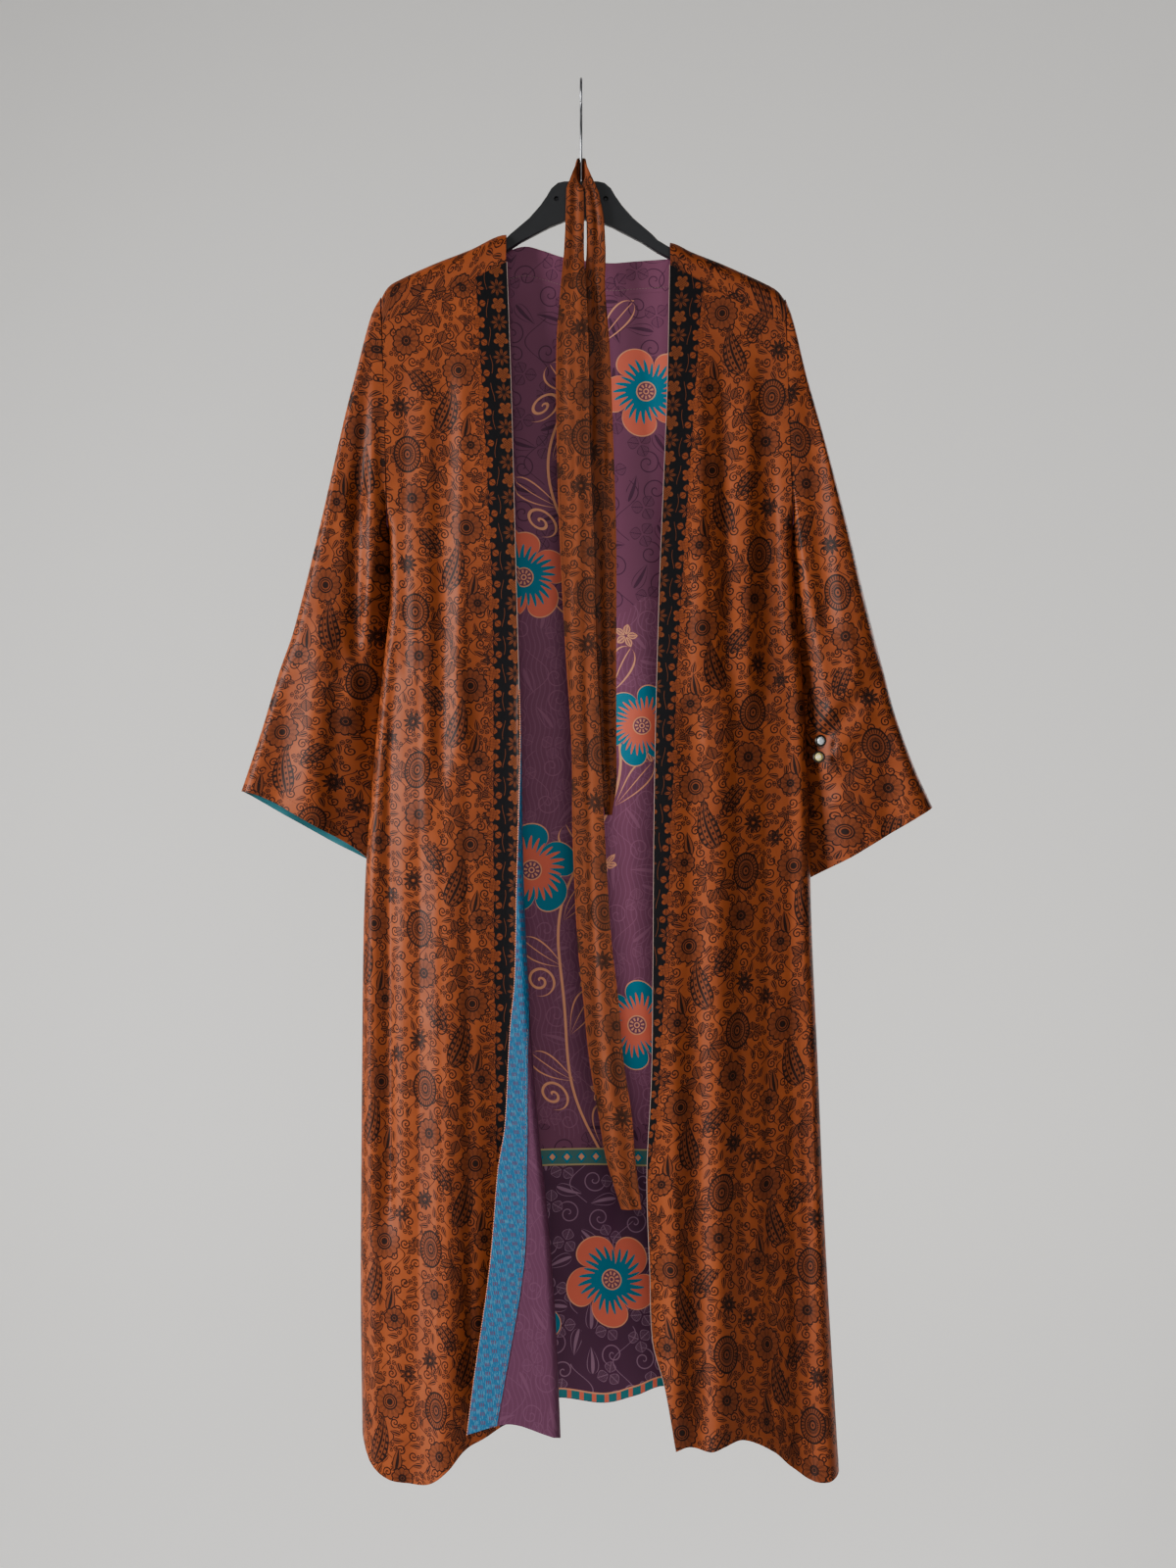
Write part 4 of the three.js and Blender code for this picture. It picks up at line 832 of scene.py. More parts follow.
class Drawing:
    """What has been drawn so far: dark lines and mid-brown shapes, as masks."""

    def __init__(self, finish):
        self.finish, self.lines, self.shapes = finish, None, None

    def put(self, lines, shape):
        self.lines = lines if self.lines is None else self.lines | lines
        self.shapes = shape if self.shapes is None else self.shapes | shape

    def pick(self, middles):
        """The place and the facts of the middle that a point is close to. A middle is its
        cell, x, y, reach, turn in degrees and three facts. Its rim is at radius 1."""
        place, facts = OUTSIDE, NO_FACTS
        for cell, x, y, reach, turn, *own in middles:
            squeeze = own[3] if len(own) > 3 else 1.0
            here = self.finish.add("Mapping", {"vector_type": "TEXTURE"}, {
                "Vector": cell, "Location": (x, y, 0), "Rotation": (0, 0, math.radians(turn)),
                "Scale": (reach * squeeze, reach, 1)})
            if len(middles) == 1:
                return here, tuple(own[:3])
            length = self.finish.add("VectorMath", {"operation": "LENGTH"}, {0: here}, output=1)
            close = length < REACH_SLACK
            place, facts = (
                self.finish.add("Mix", {"data_type": "VECTOR"}, {0: close, 4: far, 5: near}, output=1)
                for far, near in ((place, here), (facts, tuple(own[:3]))))
        return place, facts

    def polar(self, place):
        x, y, _ = self.finish.split(place)
        radius = self.finish.add("VectorMath", {"operation": "LENGTH"}, {0: place}, output=1)
        return x, y, radius, y.math("ARCTAN2", x)

    def facts(self, facts):
        return self.finish.split(facts) if isinstance(facts, Value) else facts


def daisies(drawing, middles):
    """Rounded petals round a ringed core. Facts: petals, core, line."""
    place, facts = drawing.pick(middles)
    petals, core, line = drawing.facts(facts)
    _, _, radius, angle = drawing.polar(place)
    swell = abs((angle * petals * 0.5).math("SINE"))
    rim = swell.times_plus(0.13, 0.84)
    shape = radius < rim
    across = swell * radius
    between = (across < line * 1.4) | (across.near(radius * 0.62, line * 0.8) & (radius < 0.72))
    rings = (radius < core * 0.45) | radius.near(core, line) | radius.near(core * 0.7, line * 0.7)
    drawing.put(radius.math("COMPARE", rim, line) | (between & (radius > core) & shape) | rings, shape)


def rosettes(drawing, middles):
    """Pointed leaves round a centre. Facts: how many, line, and the half angle they fill."""
    place, facts = drawing.pick(middles)
    count, line, sector = drawing.facts(facts)
    _, _, radius, angle = drawing.polar(place)
    step = 2 * math.pi / count
    folded = angle.math("WRAP", step * 0.5, step * -0.5)
    x = radius * folded.math("COSINE")
    y = abs(radius * folded.math("SINE"))
    half = (x - 0.1) * (1 - x) * (step * 1.12)
    inside = (y < half) & (abs(angle) < sector)
    vein = (y < line * 0.6) | (x.times_plus(6.5, y * -9.0).wrap(0.5).near(0.0, 0.11))
    edge = y > half - line * 1.2
    drawing.put(inside & (edge | vein), inside)


def medallion(drawing, middles):
    """An oval wheel of fine strokes between rings. Facts: a line's width."""
    place, facts = drawing.pick(middles)
    line, _, _ = drawing.facts(facts)
    _, _, radius, angle = drawing.polar(place)
    rays = abs((angle * 14).math("SINE"))
    strokes = ((rays < 0.5) & radius.near(0.8, 0.11)) | ((rays > 0.6) & radius.near(0.4, 0.07))
    rings = radius.near(0.96, line) | radius.near(0.62, line * 0.8) | radius.near(0.25, line)
    rings = rings | (radius < 0.08)
    drawing.put(strokes | rings, radius < 1.0)


def paisleys(drawing, middles):
    """A drop with a bent tip, and drops inside it."""
    place, _ = drawing.pick(middles)
    x, y, _ = drawing.finish.split(place)
    t = y.times_plus(0.5, 0.5).math("MAXIMUM", 0.0)
    bent = x - t * t * t * 0.62 + 0.12
    half = t.math("SQRT") * (1.0 - t) * 1.35
    share = abs(bent) / half
    shape = share.near(0.5, 0.5) & (t > 0.001) & (t < 0.999)
    nest = share.near(0.93, 0.08) | share.near(0.56, 0.05) | (share < 0.12)
    teeth = (y * 26).math("SINE") > 0.2
    drawing.put(shape & (nest | (teeth & (share.near(0.75, 0.13) | share.near(0.3, 0.1)))), shape)


def curl(drawing, middles):
    """A line that winds in like a fern. Facts: pitch, line, turns to the left or right."""
    place, facts = drawing.pick(middles)
    pitch, line, turns = drawing.facts(facts)
    _, _, radius, angle = drawing.polar(place)
    arm = angle.times_plus(pitch / (2 * math.pi) * turns, radius).math("WRAP", pitch, 0.0)
    drawing.put(arm.near(pitch / 2, line) & (radius < 1), radius < 0)


def seed_drop(drawing, middles):
    """An open drop with a seed or a midrib. Facts: the line's and the seed's share of its width."""
    place, facts = drawing.pick(middles)
    line, seed, _ = drawing.facts(facts)
    x, y, _ = drawing.finish.split(place)
    t = y.times_plus(0.5, 0.5).math("MAXIMUM", 0.0)
    share = abs(x - t * t * 0.3 + 0.05) / (t.math("SQRT") * (1 - t) * 1.2)
    shape = share.near(0.5, 0.5) & (t > 0.001) & (t < 0.999)
    drawing.put(shape & ((share > 1 - 2 * line) | (share < seed)), shape)


print("motifs: daisy, rosette, medallion, paisley, curl and seed drop")

# %% [markdown]
# The repeat of the print is 116 by 168 mm, and each column of repeats sits half a repeat
# lower than the last, which printers call a half drop. A cell gives every place of the
# cloth its own place inside one repeat. Motifs that would be cut by a cell's side are drawn
# in a second and a third cell, set half a repeat across or down. Small curls, drops and
# florets, turned at random, fill the ground between them.

# %% The all-over print
REPEAT_WIDE, REPEAT_HIGH = 116.0, 168.0
FILL_CELL = 20.4


def repeat_cell(across, along):
    column = (across / REPEAT_WIDE).math("ROUND")
    x = across - column * REPEAT_WIDE
    y = (along - column * (REPEAT_HIGH / 2)).wrap(REPEAT_HIGH / 2)
    return x, y


def draw_filling(finish, drawing, across, along, bold=1.0):
    """A curl, a drop and a leaf sprig in every small cell, turned at random, and thin stems."""
    column = (across / FILL_CELL).math("FLOOR")
    lower = column.times_plus(FILL_CELL * 0.38, along)
    row = (lower / FILL_CELL).math("FLOOR")
    chance = finish.add("TexWhiteNoise", {"noise_dimensions": "2D"}, {
        "Vector": finish.joined(column, row)})
    x = across - column * FILL_CELL - chance.times_plus(3.6, FILL_CELL / 2 - 1.8)
    y = lower - row * FILL_CELL - FILL_CELL / 2
    place = finish.add("VectorRotate", {"rotation_type": "Z_AXIS"}, {
        "Vector": finish.joined(x, y), "Angle": chance * 40})
    curl(drawing, [(place, -4.6, 3.0, 5.6, 0, 0.62, 0.1 * bold, 1.0)])
    seed_drop(drawing, [(place, 5.4, 3.2, 6.2, 24, 0.13 * bold, 0.3, 0)])
    rosettes(drawing, [(place, 0.2, -5.0, 6.0, 0, 3, 0.1 * bold, 9)])
    stem = (along * 0.23).math("SINE").times_plus(5.4, across).wrap(FILL_CELL / 2).near(0.0, 0.5 * bold)
    drawing.put(stem & ((across * 0.6 + along) * 0.13).math("SINE").near(0.5, 0.7), stem * 0)


def draw_repeat(finish, drawing, across, along):
    x, y = repeat_cell(across, along)
    cell = finish.joined(x, y)
    below = finish.joined(x, (y + REPEAT_HIGH / 2).wrap(REPEAT_HIGH / 2))
    x2, y2 = repeat_cell(across - REPEAT_WIDE / 2, along)
    beside = finish.joined(x2, y2)
    daisies(drawing, [
        (cell, 0, 0, 18.5, 0, 14, 0.42, 0.044), (below, 9, -4, 12.0, 0, 10, 0.3, 0.06),
        (beside, 0, 52, 16.0, 0, 12, 0.3, 0.05)])
    rosettes(drawing, [
        (cell, -20, -27, 16.5, 20, 4, 0.05, 2.4), (cell, -28, -64, 20.5, 8, 6, 0.042, 9),
        (cell, 22, -30, 9.5, 70, 8, 0.075, 9), (below, -17, 10, 15.5, -30, 5, 0.05, 2.0),
        (beside, -9, -46, 11.5, 10, 10, 0.065, 9), (cell, 36, 6, 10.0, 40, 3, 0.07, 9),
        (cell, 12, -57, 10, 100, 5, 0.07, 2.0)])
    paisleys(drawing, [
        (cell, -14, 40, 27, 212, 0, 0, 0, 0.85), (beside, 12, -77, 22, 150, 0, 0, 0, 0.8)])
    medallion(drawing, [(beside, -3, 5, 19.5, 0, 0.055, 0, 0, 0.76)])
    seed_drop(drawing, [(cell, 6, 60, 12, 200, 0.1, 0.3, 0)])
    curl(drawing, [(cell, -37, 25, 10, 0, 0.5, 0.075, 1.0)])


print("a repeat is", REPEAT_WIDE, "by", REPEAT_HIGH, "mm, and the filling's cell", FILL_CELL, "mm")

# %% [markdown]
# A printed border runs down each front edge: black, with a column of flowers and fan-like
# leaves near the edge, a wavering stem, and more of both cut into its inner side.

# %% The border along the front edge
BORDER_STEP = 37.4
PRINT_ACROSS, PRINT_DOWN = -24, 313


def fans(drawing, middles):
    """Blunt five-lobed leaves with crossed veins."""
    place, _ = drawing.pick(middles)
    x, y, radius, angle = drawing.polar(place)
    rim = abs((angle * 2.5).math("COSINE")).times_plus(0.42, 0.56)
    veins = (x + y).wrap(0.13).near(0.0, 0.022) | (x - y).wrap(0.13).near(0.0, 0.022)
    drawing.put(radius.math("COMPARE", rim, 0.05) | (veins & (radius < 0.66)), radius < rim)


def draw_border(finish, column, rim, across, along):
    """The column beside the front edge, and the flowers that cut into the inner side."""
    def place(x, shift, step):
        return finish.joined(across - x, (along + shift).wrap(step / 2))

    rosettes(column, [(place(24, 0, BORDER_STEP), 0, 0, 10.4, 0, 8, 0.05, 9)])
    fans(column, [(place(24.5, BORDER_STEP / 2, BORDER_STEP), 0, 0, 8.8, 18, 0, 0, 0)])
    wide = place(0, 0, 2 * BORDER_STEP)
    far = place(0, BORDER_STEP, 2 * BORDER_STEP)
    rosettes(rim, [
        (wide, 0.5, 0, 10, 10, 7, 0.05, 9), (wide, 2, 18.7, 9, -20, 3, 0.06, 9),
        (wide, 2, -18.7, 9, 35, 3, 0.06, 9)])
    fans(rim, [(far, 1, 0, 8.5, 40, 0, 0, 0)])


RUST, RUST_DEEP = tint(152, 74, 35), tint(120, 56, 28)
SHADE, INK = tint(74, 36, 20), tint(20, 12, 10)
BORDER_BLACK, BORDER_BROWN, RIM_RUST = tint(9, 8, 11), tint(112, 56, 26), tint(132, 62, 27)


def rust_colour(finish, across, along, bordered):
    main, filling = Drawing(finish), Drawing(finish)
    draw_repeat(finish, main, across - PRINT_ACROSS, along - PRINT_DOWN)
    draw_filling(finish, filling, across, along, 1.25)
    lines = main.lines | (filling.lines & (1 - main.shapes))
    shapes = main.shapes | (filling.shapes * 0.4)
    colour = finish.blend(finish.flat_noise(across, along, 0.03), RUST, RUST_DEEP)
    colour = finish.blend(shapes * 0.5, colour, SHADE)
    colour = finish.blend(lines * 0.94, colour, INK)
    if not bordered:
        return colour
    column, rim = Drawing(finish), Drawing(finish)
    draw_border(finish, column, rim, across, along)
    wave = (along * (2 * math.pi / BORDER_STEP)).math("SINE").times_plus(1.6, 12.0)
    stem = (across - wave).wrap(1.3).near(0.0, 0.3) & across.near(wave, 2.2)
    stem = stem & ((along * 0.21).math("SINE") > -0.5)
    band = finish.blend(column.shapes | (stem * 0.8), BORDER_BLACK, BORDER_BROWN)
    band = finish.blend(column.lines * 0.85, band, BORDER_BLACK)
    colour = finish.blend(across > 0.5, colour, band)
    colour = finish.blend(rim.shapes * 0.9, colour, RIM_RUST)
    return finish.blend(rim.lines * 0.9, colour, BORDER_BLACK)


print("the border's flowers stand", BORDER_STEP, "mm apart")

# %% [markdown]
# Every cloth shares its place and its weave. The place comes from the flat map, in
# millimetres. The weave is plain: threads over and under each other, and slubs, the thick
# places in a silk thread, which run along the weft and catch the light.

# %% Place and weave
def cloth_place(finish):
    flat = finish.add("UVMap", {"uv_map": "cloth"})
    flat = finish.add("VectorMath", {"operation": "SCALE"}, {0: flat, "Scale": 1 / MM})
    x, y, _ = finish.split(flat)
    return x, y


def weave(finish, across, along, slub=1.0):
    """The unevenness of silk, as a normal."""
    threads = (across * 5.2).math("SINE") * (along * 5.2).math("SINE")
    slubs = finish.flat_noise(across * 0.5, along * 1.9, detail=1.0)
    return finish.add("Bump", None, {
        "Strength": 0.5, "Distance": 0.00022 * slub, "Height": threads.times_plus(0.12, slubs)})


def rust_finish(name, bordered, brown=0.0):
    finish = Finish(name)
    across, along = cloth_place(finish)
    colour = rust_colour(finish, across, along, bordered)
    if brown:
        colour = finish.blend(brown, colour, tint(84, 50, 34))
    return finish.surface(colour, 0.46, weave(finish, across, along), Specular_IOR_Level=0.13)


rust_bordered = rust_finish("rust_print_border", True)
rust_plain = rust_finish("rust_print", False)
rust_sash = rust_finish("sash_print", False, 0.26)
print("nodes of the bordered print", len(rust_bordered.node_tree.nodes))

# %% [markdown]
# The lining is plum silk with large blossoms on peach vines over a ground of dark leaf and
# curl outlines. The hidden linings carry the same cloth. A narrow striped hem finishes it.

# %% The flowered lining
PLUM, PLUM_DARK, PLUM_LIGHT = tint(124, 70, 96), tint(58, 30, 54), tint(156, 98, 126)
PEACH, CORAL, TEAL = tint(236, 160, 120), tint(232, 108, 84), tint(14, 124, 150)
PATCH, PATCH_LINE = tint(84, 46, 72), tint(158, 116, 140)
ZONE_TOP, ZONE_END, BAND = 560.0, 1130.0, 1166.0


def blossoms(finish, below, middles):
    """Large rounded petals, coral or teal, that streak into the other colour at a ringed heart."""
    drawing = Drawing(finish)
    place, facts = drawing.pick(middles)
    petals, warm, twist = drawing.facts(facts)
    _, _, radius, angle = drawing.polar(place)
    turned = radius.math("MULTIPLY_ADD", twist, angle)
    lobe = abs((turned * petals * 0.5).math("SINE"))
    rim = lobe.math("POWER", 0.4).times_plus(0.5, 0.48)
    streak = (turned * petals * 5).math("SINE").times_plus(0.14, radius) - lobe * 0.12
    petal, heart = finish.blend(warm, TEAL, CORAL), finish.blend(warm, CORAL, TEAL)
    body = finish.blend(streak > 0.46, heart, petal)
    body = finish.blend(radius.math("COMPARE", rim, 0.025), body, PEACH)
    body = finish.blend(radius < 0.2, body, PLUM)
    spokes = ((angle * 10).math("SINE") > 0.1) & radius.near(0.125, 0.035)
    heart_lines = spokes | radius.near(0.2, 0.014) | radius.near(0.05, 0.014)
    return finish.blend(radius < rim, below, finish.blend(heart_lines, body, PEACH))


def ground_lines(finish, across, along):
    """Outlines of leaves and curls."""
    drawing = Drawing(finish)
    draw_filling(finish, drawing, across * 0.42, along * 0.42, 0.5)
    return drawing.lines


def plum_ground(finish, across, along):
    return finish.blend(ground_lines(finish, across, along) * 0.7, PLUM, PLUM_DARK)


def plum_turned(finish, across, along):
    """The lining beside the turned facing, darker, with the same flowers."""
    return finish.blend(0.62, lining_colour(finish, across, along), PLUM_DARK)


def lining_colour(finish, across, along):
    """The whole lining from its upper edge down: three grounds, a vine, blossoms and a hem."""
    lines = ground_lines(finish, across, along)
    ripple = (along / 7).math("SINE").times_plus(2.2, across).wrap(2.6).near(0.0, 0.6)
    wavy = (across * 0.11).math("SINE").times_plus(9.0, along)
    middle = wavy.near((ZONE_TOP + ZONE_END) / 2, (ZONE_END - ZONE_TOP) / 2)
    colour = finish.blend(lines * 0.7, PLUM, PLUM_DARK)
    lit = finish.blend((ripple * 0.35) | (lines * 0.6), PLUM, PLUM_LIGHT)
    colour = finish.blend(middle, colour, lit)
    patch = finish.blend(lines * 0.8, PATCH, PATCH_LINE)
    colour = finish.blend(along > BAND, colour, patch)
    x = across - (along / 88).math("SINE") * 34 - (along / 37).math("SINE") * 8 - 6
    vine = Drawing(finish)
    seed_drop(vine, [(finish.joined(x, along.wrap(62)), 17, 8, 27, 40, 0.075, 0.05, 0),
                     (finish.joined(x, (along + 62).wrap(62)), -19, 8, 26, -46, 0.075, 0.05, 0)])
    curl(vine, [(finish.joined(x, (along + 26).wrap(62)), -24, 0, 17, 0, 0.6, 0.085, -1.0)])
    rosettes(vine, [(finish.joined(x, (along + 31).wrap(62)), 30, 4, 13, 0, 5, 0.09, 9)])
    stem = (abs(x) < 1.5) | vine.lines
    colour = finish.blend(stem & (along < BAND) & (along > 232), colour, PEACH)
    place = finish.joined(across, along)
    colour = blossoms(finish, colour, [
        (place, 70, 330, 50, 10, 5, 1, 0.35), (place, -62, 530, 50, 0, 5, 1, -0.35),
        (place, 66, 690, 46, 30, 6, 0, 0.3), (place, -54, 846, 52, 0, 5, 0, -0.35),
        (place, 62, 1014, 50, 20, 6, 0, 0.35), (place, 34, 1292, 54, 0, 5, 1, 0.35),
        (place, -62, 1340, 40, 20, 5, 0, -0.3)])
    diamond = abs(across.wrap(8.0)) + abs(along - BAND + 8) * 0.9
    band = finish.blend(diamond < 3.4, finish.blend(diamond < 6.2, tint(70, 116, 112), TEAL), PEACH)
    band = finish.blend(abs(along - BAND + 8) > 7.6, band, tint(186, 160, 110))
    colour = finish.blend(along.near(BAND - 8, 9.4), colour, band)
    to_hem = finish.add("Attribute", {"attribute_name": "to_hem"}, output=2)
    tooth = across.wrap(7.0).near(0.0, 2.4)
    stripe = finish.blend(tooth, tint(30, 120, 128), CORAL)
    stripe = finish.blend(to_hem > 9.4, stripe, PEACH)
    return finish.blend(to_hem.near(6.0, 5.2), colour, stripe)


def lining_finish(name, make, roughness=0.5):
    finish = Finish(name)
    across, along = cloth_place(finish)
    return finish.surface(make(finish, across, along), roughness, weave(finish, across, along, 0.7),
                          Specular_IOR_Level=0.15)


plum_flowers = lining_finish("plum_flower_lining", lining_colour)
plum_plain = lining_finish("plum_leaf_lining", plum_ground)
plum_beside = lining_finish("plum_turned_lining", plum_turned)
print("nodes of the lining", len(plum_flowers.node_tree.nodes))

# %% [markdown]
# The facing inside the left edge is a bright blue silk with small clusters of maroon dashes.
# The cuffs are lined with plain dark teal silk.

# %% Facing and cuff linings
BLUE, BLUE_LIGHT, MAROON = tint(32, 94, 134), tint(78, 134, 164), tint(96, 46, 68)


def facing_colour(finish, across, along):
    column = (across / 9).math("ROUND")
    x, y = across - column * 9, (along - column * 4.5).wrap(4.6)
    dashes = x.wrap(0.95).near(0.0, 0.5) & (abs(x) < 2.9) & (abs(y) < 1.9)
    noise = finish.flat_noise(across * 0.9, along * 0.16)
    ground = finish.blend((noise > 0.56) * 0.6, BLUE, BLUE_LIGHT)
    return finish.blend(dashes * 0.85, ground, MAROON)


def cuff_colour(finish, across, along):
    noise = finish.flat_noise(across * 0.05, along * 0.3)
    return finish.blend(noise, tint(28, 76, 84), tint(44, 108, 116))


blue_facing = lining_finish("blue_facing_silk", facing_colour, 0.42)
teal_cuff = lining_finish("teal_cuff_silk", cuff_colour, 0.42)
print("nodes of the facing", len(blue_facing.node_tree.nodes))

# %% [markdown]
# The hanger is moulded black plastic with a fine matt grain, a little scuffed. The hook is
# plated steel wire, drawn lengthwise.

# %% Hanger and wire finishes
def plastic():
    finish = Finish("hanger_black_plastic")
    grain = finish.noise(finish.place(), 1400.0)
    scuff = finish.noise(finish.place(), 60.0, 4.0)
    colour = finish.blend(scuff, tint(17, 18, 20), tint(30, 31, 34))
    normal = finish.add("Bump", None, {"Strength": 0.3, "Distance": 0.0002, "Height": grain})
    return finish.surface(colour, scuff.times_plus(0.25, 0.3), normal, Specular_IOR_Level=0.35)


def wire():
    finish = Finish("hook_plated_wire")
    drawn = finish.noise(finish.place((900, 900, 60)), detail=2.0)
    colour = finish.blend(drawn, tint(150, 152, 156), tint(196, 198, 202))
    return finish.surface(colour, drawn.times_plus(0.25, 0.18), Metallic=1.0)


black_plastic, plated_wire = plastic(), wire()
print("finishes so far", len(bpy.data.materials))

# %% [markdown]
# The threads are spun silk and cotton: short soft fibres with a faint twist. The two studs
# are cut glass, one clear and one straw yellow, each in a blackened ring.

# %% Threads, rings and stones
def thread(name, light, dark):
    finish = Finish(name)
    fibre = finish.noise(finish.place((1500, 1500, 900)))
    return finish.surface(finish.blend(fibre, light, dark), 0.7, Specular_IOR_Level=0.15)


def stone(name, light, deep):
    finish = Finish(name)
    depth = finish.noise(finish.place(), 420.0)
    return finish.surface(finish.blend(depth, light, deep), depth.times_plus(0.1, 0.02),
                          Specular_IOR_Level=1.0, Coat_Weight=1.0)


def ring_metal():
    finish = Finish("stud_ring_metal")
    worn = finish.noise(finish.place(), 700.0, 2.0)
    return finish.surface(finish.blend(worn, tint(38, 36, 36), tint(84, 78, 72)),
                          worn.times_plus(0.3, 0.2), Metallic=1.0)


peach_thread = thread("peach_thread", PEACH, tint(206, 120, 92))
pale_thread = thread("pale_thread", tint(160, 138, 128), tint(120, 100, 94))
rust_thread = thread("rust_thread", tint(120, 66, 34), tint(70, 40, 24))
clear_stone = stone("clear_stone", tint(250, 250, 250), tint(150, 160, 170))
straw_stone = stone("straw_stone", tint(250, 236, 150), tint(178, 150, 70))
ring_dark = ring_metal()
print("finishes", len(bpy.data.materials))

# %% [markdown]
# Each cloth hangs from the hanger or from the cloth it is sewn to. A lining lies a millimetre
# inside the outer silk, and stops a little short of its cut edges.

# %% Sewing a cloth up
OUTER, LINED = (-0.25, 0.25), (-1.35, -0.95)
FACING_TRIM, SEAM_TRIM, SIDE_TRIM = 0.15, 0.6, 0.8


def sew(name, points, skins, flat, materials, node, keep=None, closed=False,
        normals=None, marks=None):
    """Make a cloth on its grid, hang it from the root and hide the solid that node names."""
    piece = cloth(name, points, skins, flat, materials, closed, keep, normals, marks)
    ring = np.concatenate([points, points[:, :1]], axis=1) if closed else points
    area = flat_area(ring, keep)
    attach(piece, "root")
    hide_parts(node)


back_keep = np.ones((len(back_grid) - 1, back_grid.shape[1] - 1), bool)
back_keep[:RIDGE_ROWS, NECK_FIRST:NECK_LAST] = False
back_normals = normals_of(back_grid)
FACING_END = RIDGE_ROWS + FACING_ROWS

sew("back_cloth", back_grid, OUTER, back_flat, [rust_plain, plum_plain], "back",
    keep=back_keep, normals=back_normals)
sew("neck_facing_cloth", back_grid[:FACING_END + 1], LINED, back_flat[:FACING_END + 1],
    [plum_plain, plum_plain], "neck_facing", keep=back_keep[:FACING_END],
    normals=back_normals[:FACING_END + 1])
inside_back = part_of(back_grid, (FACING_END, None), trims=[
    ("top", FACING_TRIM), ("start", SIDE_TRIM), ("end", SIDE_TRIM)])
sew("back_lining_cloth", inside_back, LINED, back_flat[FACING_END:], [plum_flowers, plum_flowers],
    "back_lining", normals=back_normals[FACING_END:],
    marks={"to_hem": lengths_down(inside_back)[-1] - lengths_down(inside_back)})

# %% [markdown]
# The fronts carry the bordered print. The left one has a strip of blue facing inside its
# edge, and a lining of its own from there to the side. That lining is cut from another
# stretch of the flowered silk and has no striped hem.

# %% The fronts and what lines the left one
LINING_SHIFT = [66, -330]
FAR_FROM_HEM = 40
bordered = [rust_bordered, plum_plain, rust_plain]
left_normals = normals_of(front_left_grid)
sew("front_left_cloth", front_left_grid, OUTER, left_flat, bordered, "front_left",
    normals=left_normals)
sew("front_right_cloth", front_right_grid, OUTER, right_flat, bordered, "front_right")
strip = part_of(front_left_grid, columns=(0, TURN_FACING + 1), trims=[("end", SEAM_TRIM)])
sew("facing_left_cloth", strip, LINED, left_flat[:, :TURN_FACING + 1], [blue_facing, blue_facing],
    "facing_left", normals=left_normals[:, :TURN_FACING + 1])
inside_left = part_of(front_left_grid, columns=(TURN_FACING, None), trims=[
    ("start", SEAM_TRIM), ("end", SIDE_TRIM)])
sew("front_left_lining_cloth", inside_left, LINED, left_flat[:, TURN_FACING:] + LINING_SHIFT,
    [plum_beside, plum_beside], "front_left_lining",
    normals=left_normals[:, TURN_FACING:], marks={"to_hem": FAR_FROM_HEM + 0 * inside_left[..., 0]})

# %% [markdown]
# A sleeve is sewn as a closed tube. Its cuff is lined with a short tube of teal silk.

# %% Sleeves and the linings of their cuffs
CUFF_RINGS = 22
for side, points, flat in [("left", sleeve_left_grid, left_sleeve_flat),
                           ("right", sleeve_right_grid, right_sleeve_flat)]:
    normals = normals_of(points, closed=True)
    sew(f"sleeve_{side}_cloth", points, OUTER, flat, [rust_plain, plum_plain], f"sleeve_{side}",
        closed=True, normals=normals)
    sew(f"cuff_lining_{side}_cloth", points[-CUFF_RINGS:], LINED, flat[-CUFF_RINGS:],
        [teal_cuff, teal_cuff], f"cuff_lining_{side}", closed=True,
        normals=normals[-CUFF_RINGS:])

# %% [markdown]
# The sash hangs gathered, several layers thick, so its skins lie further apart than a
# single cloth's.

# %% The sash
SASH_SKINS = (-0.9, 0.9)
sew("sash_cloth", sash_grid, SASH_SKINS, sash_flat, [rust_sash, rust_sash], "belt")

# %% [markdown]
# The hook is one wire: a straight shank that rises from the hanger, and a crook round the
# rail. Rings of points are set square to its path and joined by faces.

# %% The hook
WIRE_RADIUS, CROOK_RADIUS, SHANK_STRAIGHT = 1.6, 20.0, 54.0
SHANK_FOOT, WIRE_SIDES, WIRE_STEPS = -107.7, 18, 8
CROOK_DEGREES = (-50, 206, 15)


def through(points, steps):
    """A smooth path through points, with knots spaced by the root of their distance."""
    points = np.array(points, float)
    points = np.concatenate([[2 * points[0] - points[1]], points, [2 * points[-1] - points[-2]]])
    knots = np.concatenate([[0], np.cumsum(np.linalg.norm(np.diff(points, axis=0), axis=1) ** 0.5)])
    path = []
    for i in range(1, len(points) - 2):
        (p0, p1, p2, p3), (t0, t1, t2, t3) = points[i - 1:i + 3], knots[i - 1:i + 3]
        for t in np.linspace(t1, t2, steps, endpoint=False):
            a1 = mix(p0, p1, (t - t0) / (t1 - t0))
            a2 = mix(p1, p2, (t - t1) / (t2 - t1))
            a3 = mix(p2, p3, (t - t2) / (t3 - t2))
            b1, b2 = mix(a1, a2, (t - t0) / (t2 - t0)), mix(a2, a3, (t - t1) / (t3 - t1))
            path.append(mix(b1, b2, (t - t1) / (t2 - t1)))
    return np.array(path + [points[-2]])


def ring_faces(rows, sides, closed=False):
    """Faces between rings of points, and from the last ring to the first if closed."""
    faces = []
    for r in range(rows if closed else rows - 1):
        s = (r + 1) % rows
        for i in range(sides):
            j = (i + 1) % sides
            faces.append((r * sides + i, r * sides + j, s * sides + j, s * sides + i))
    return faces


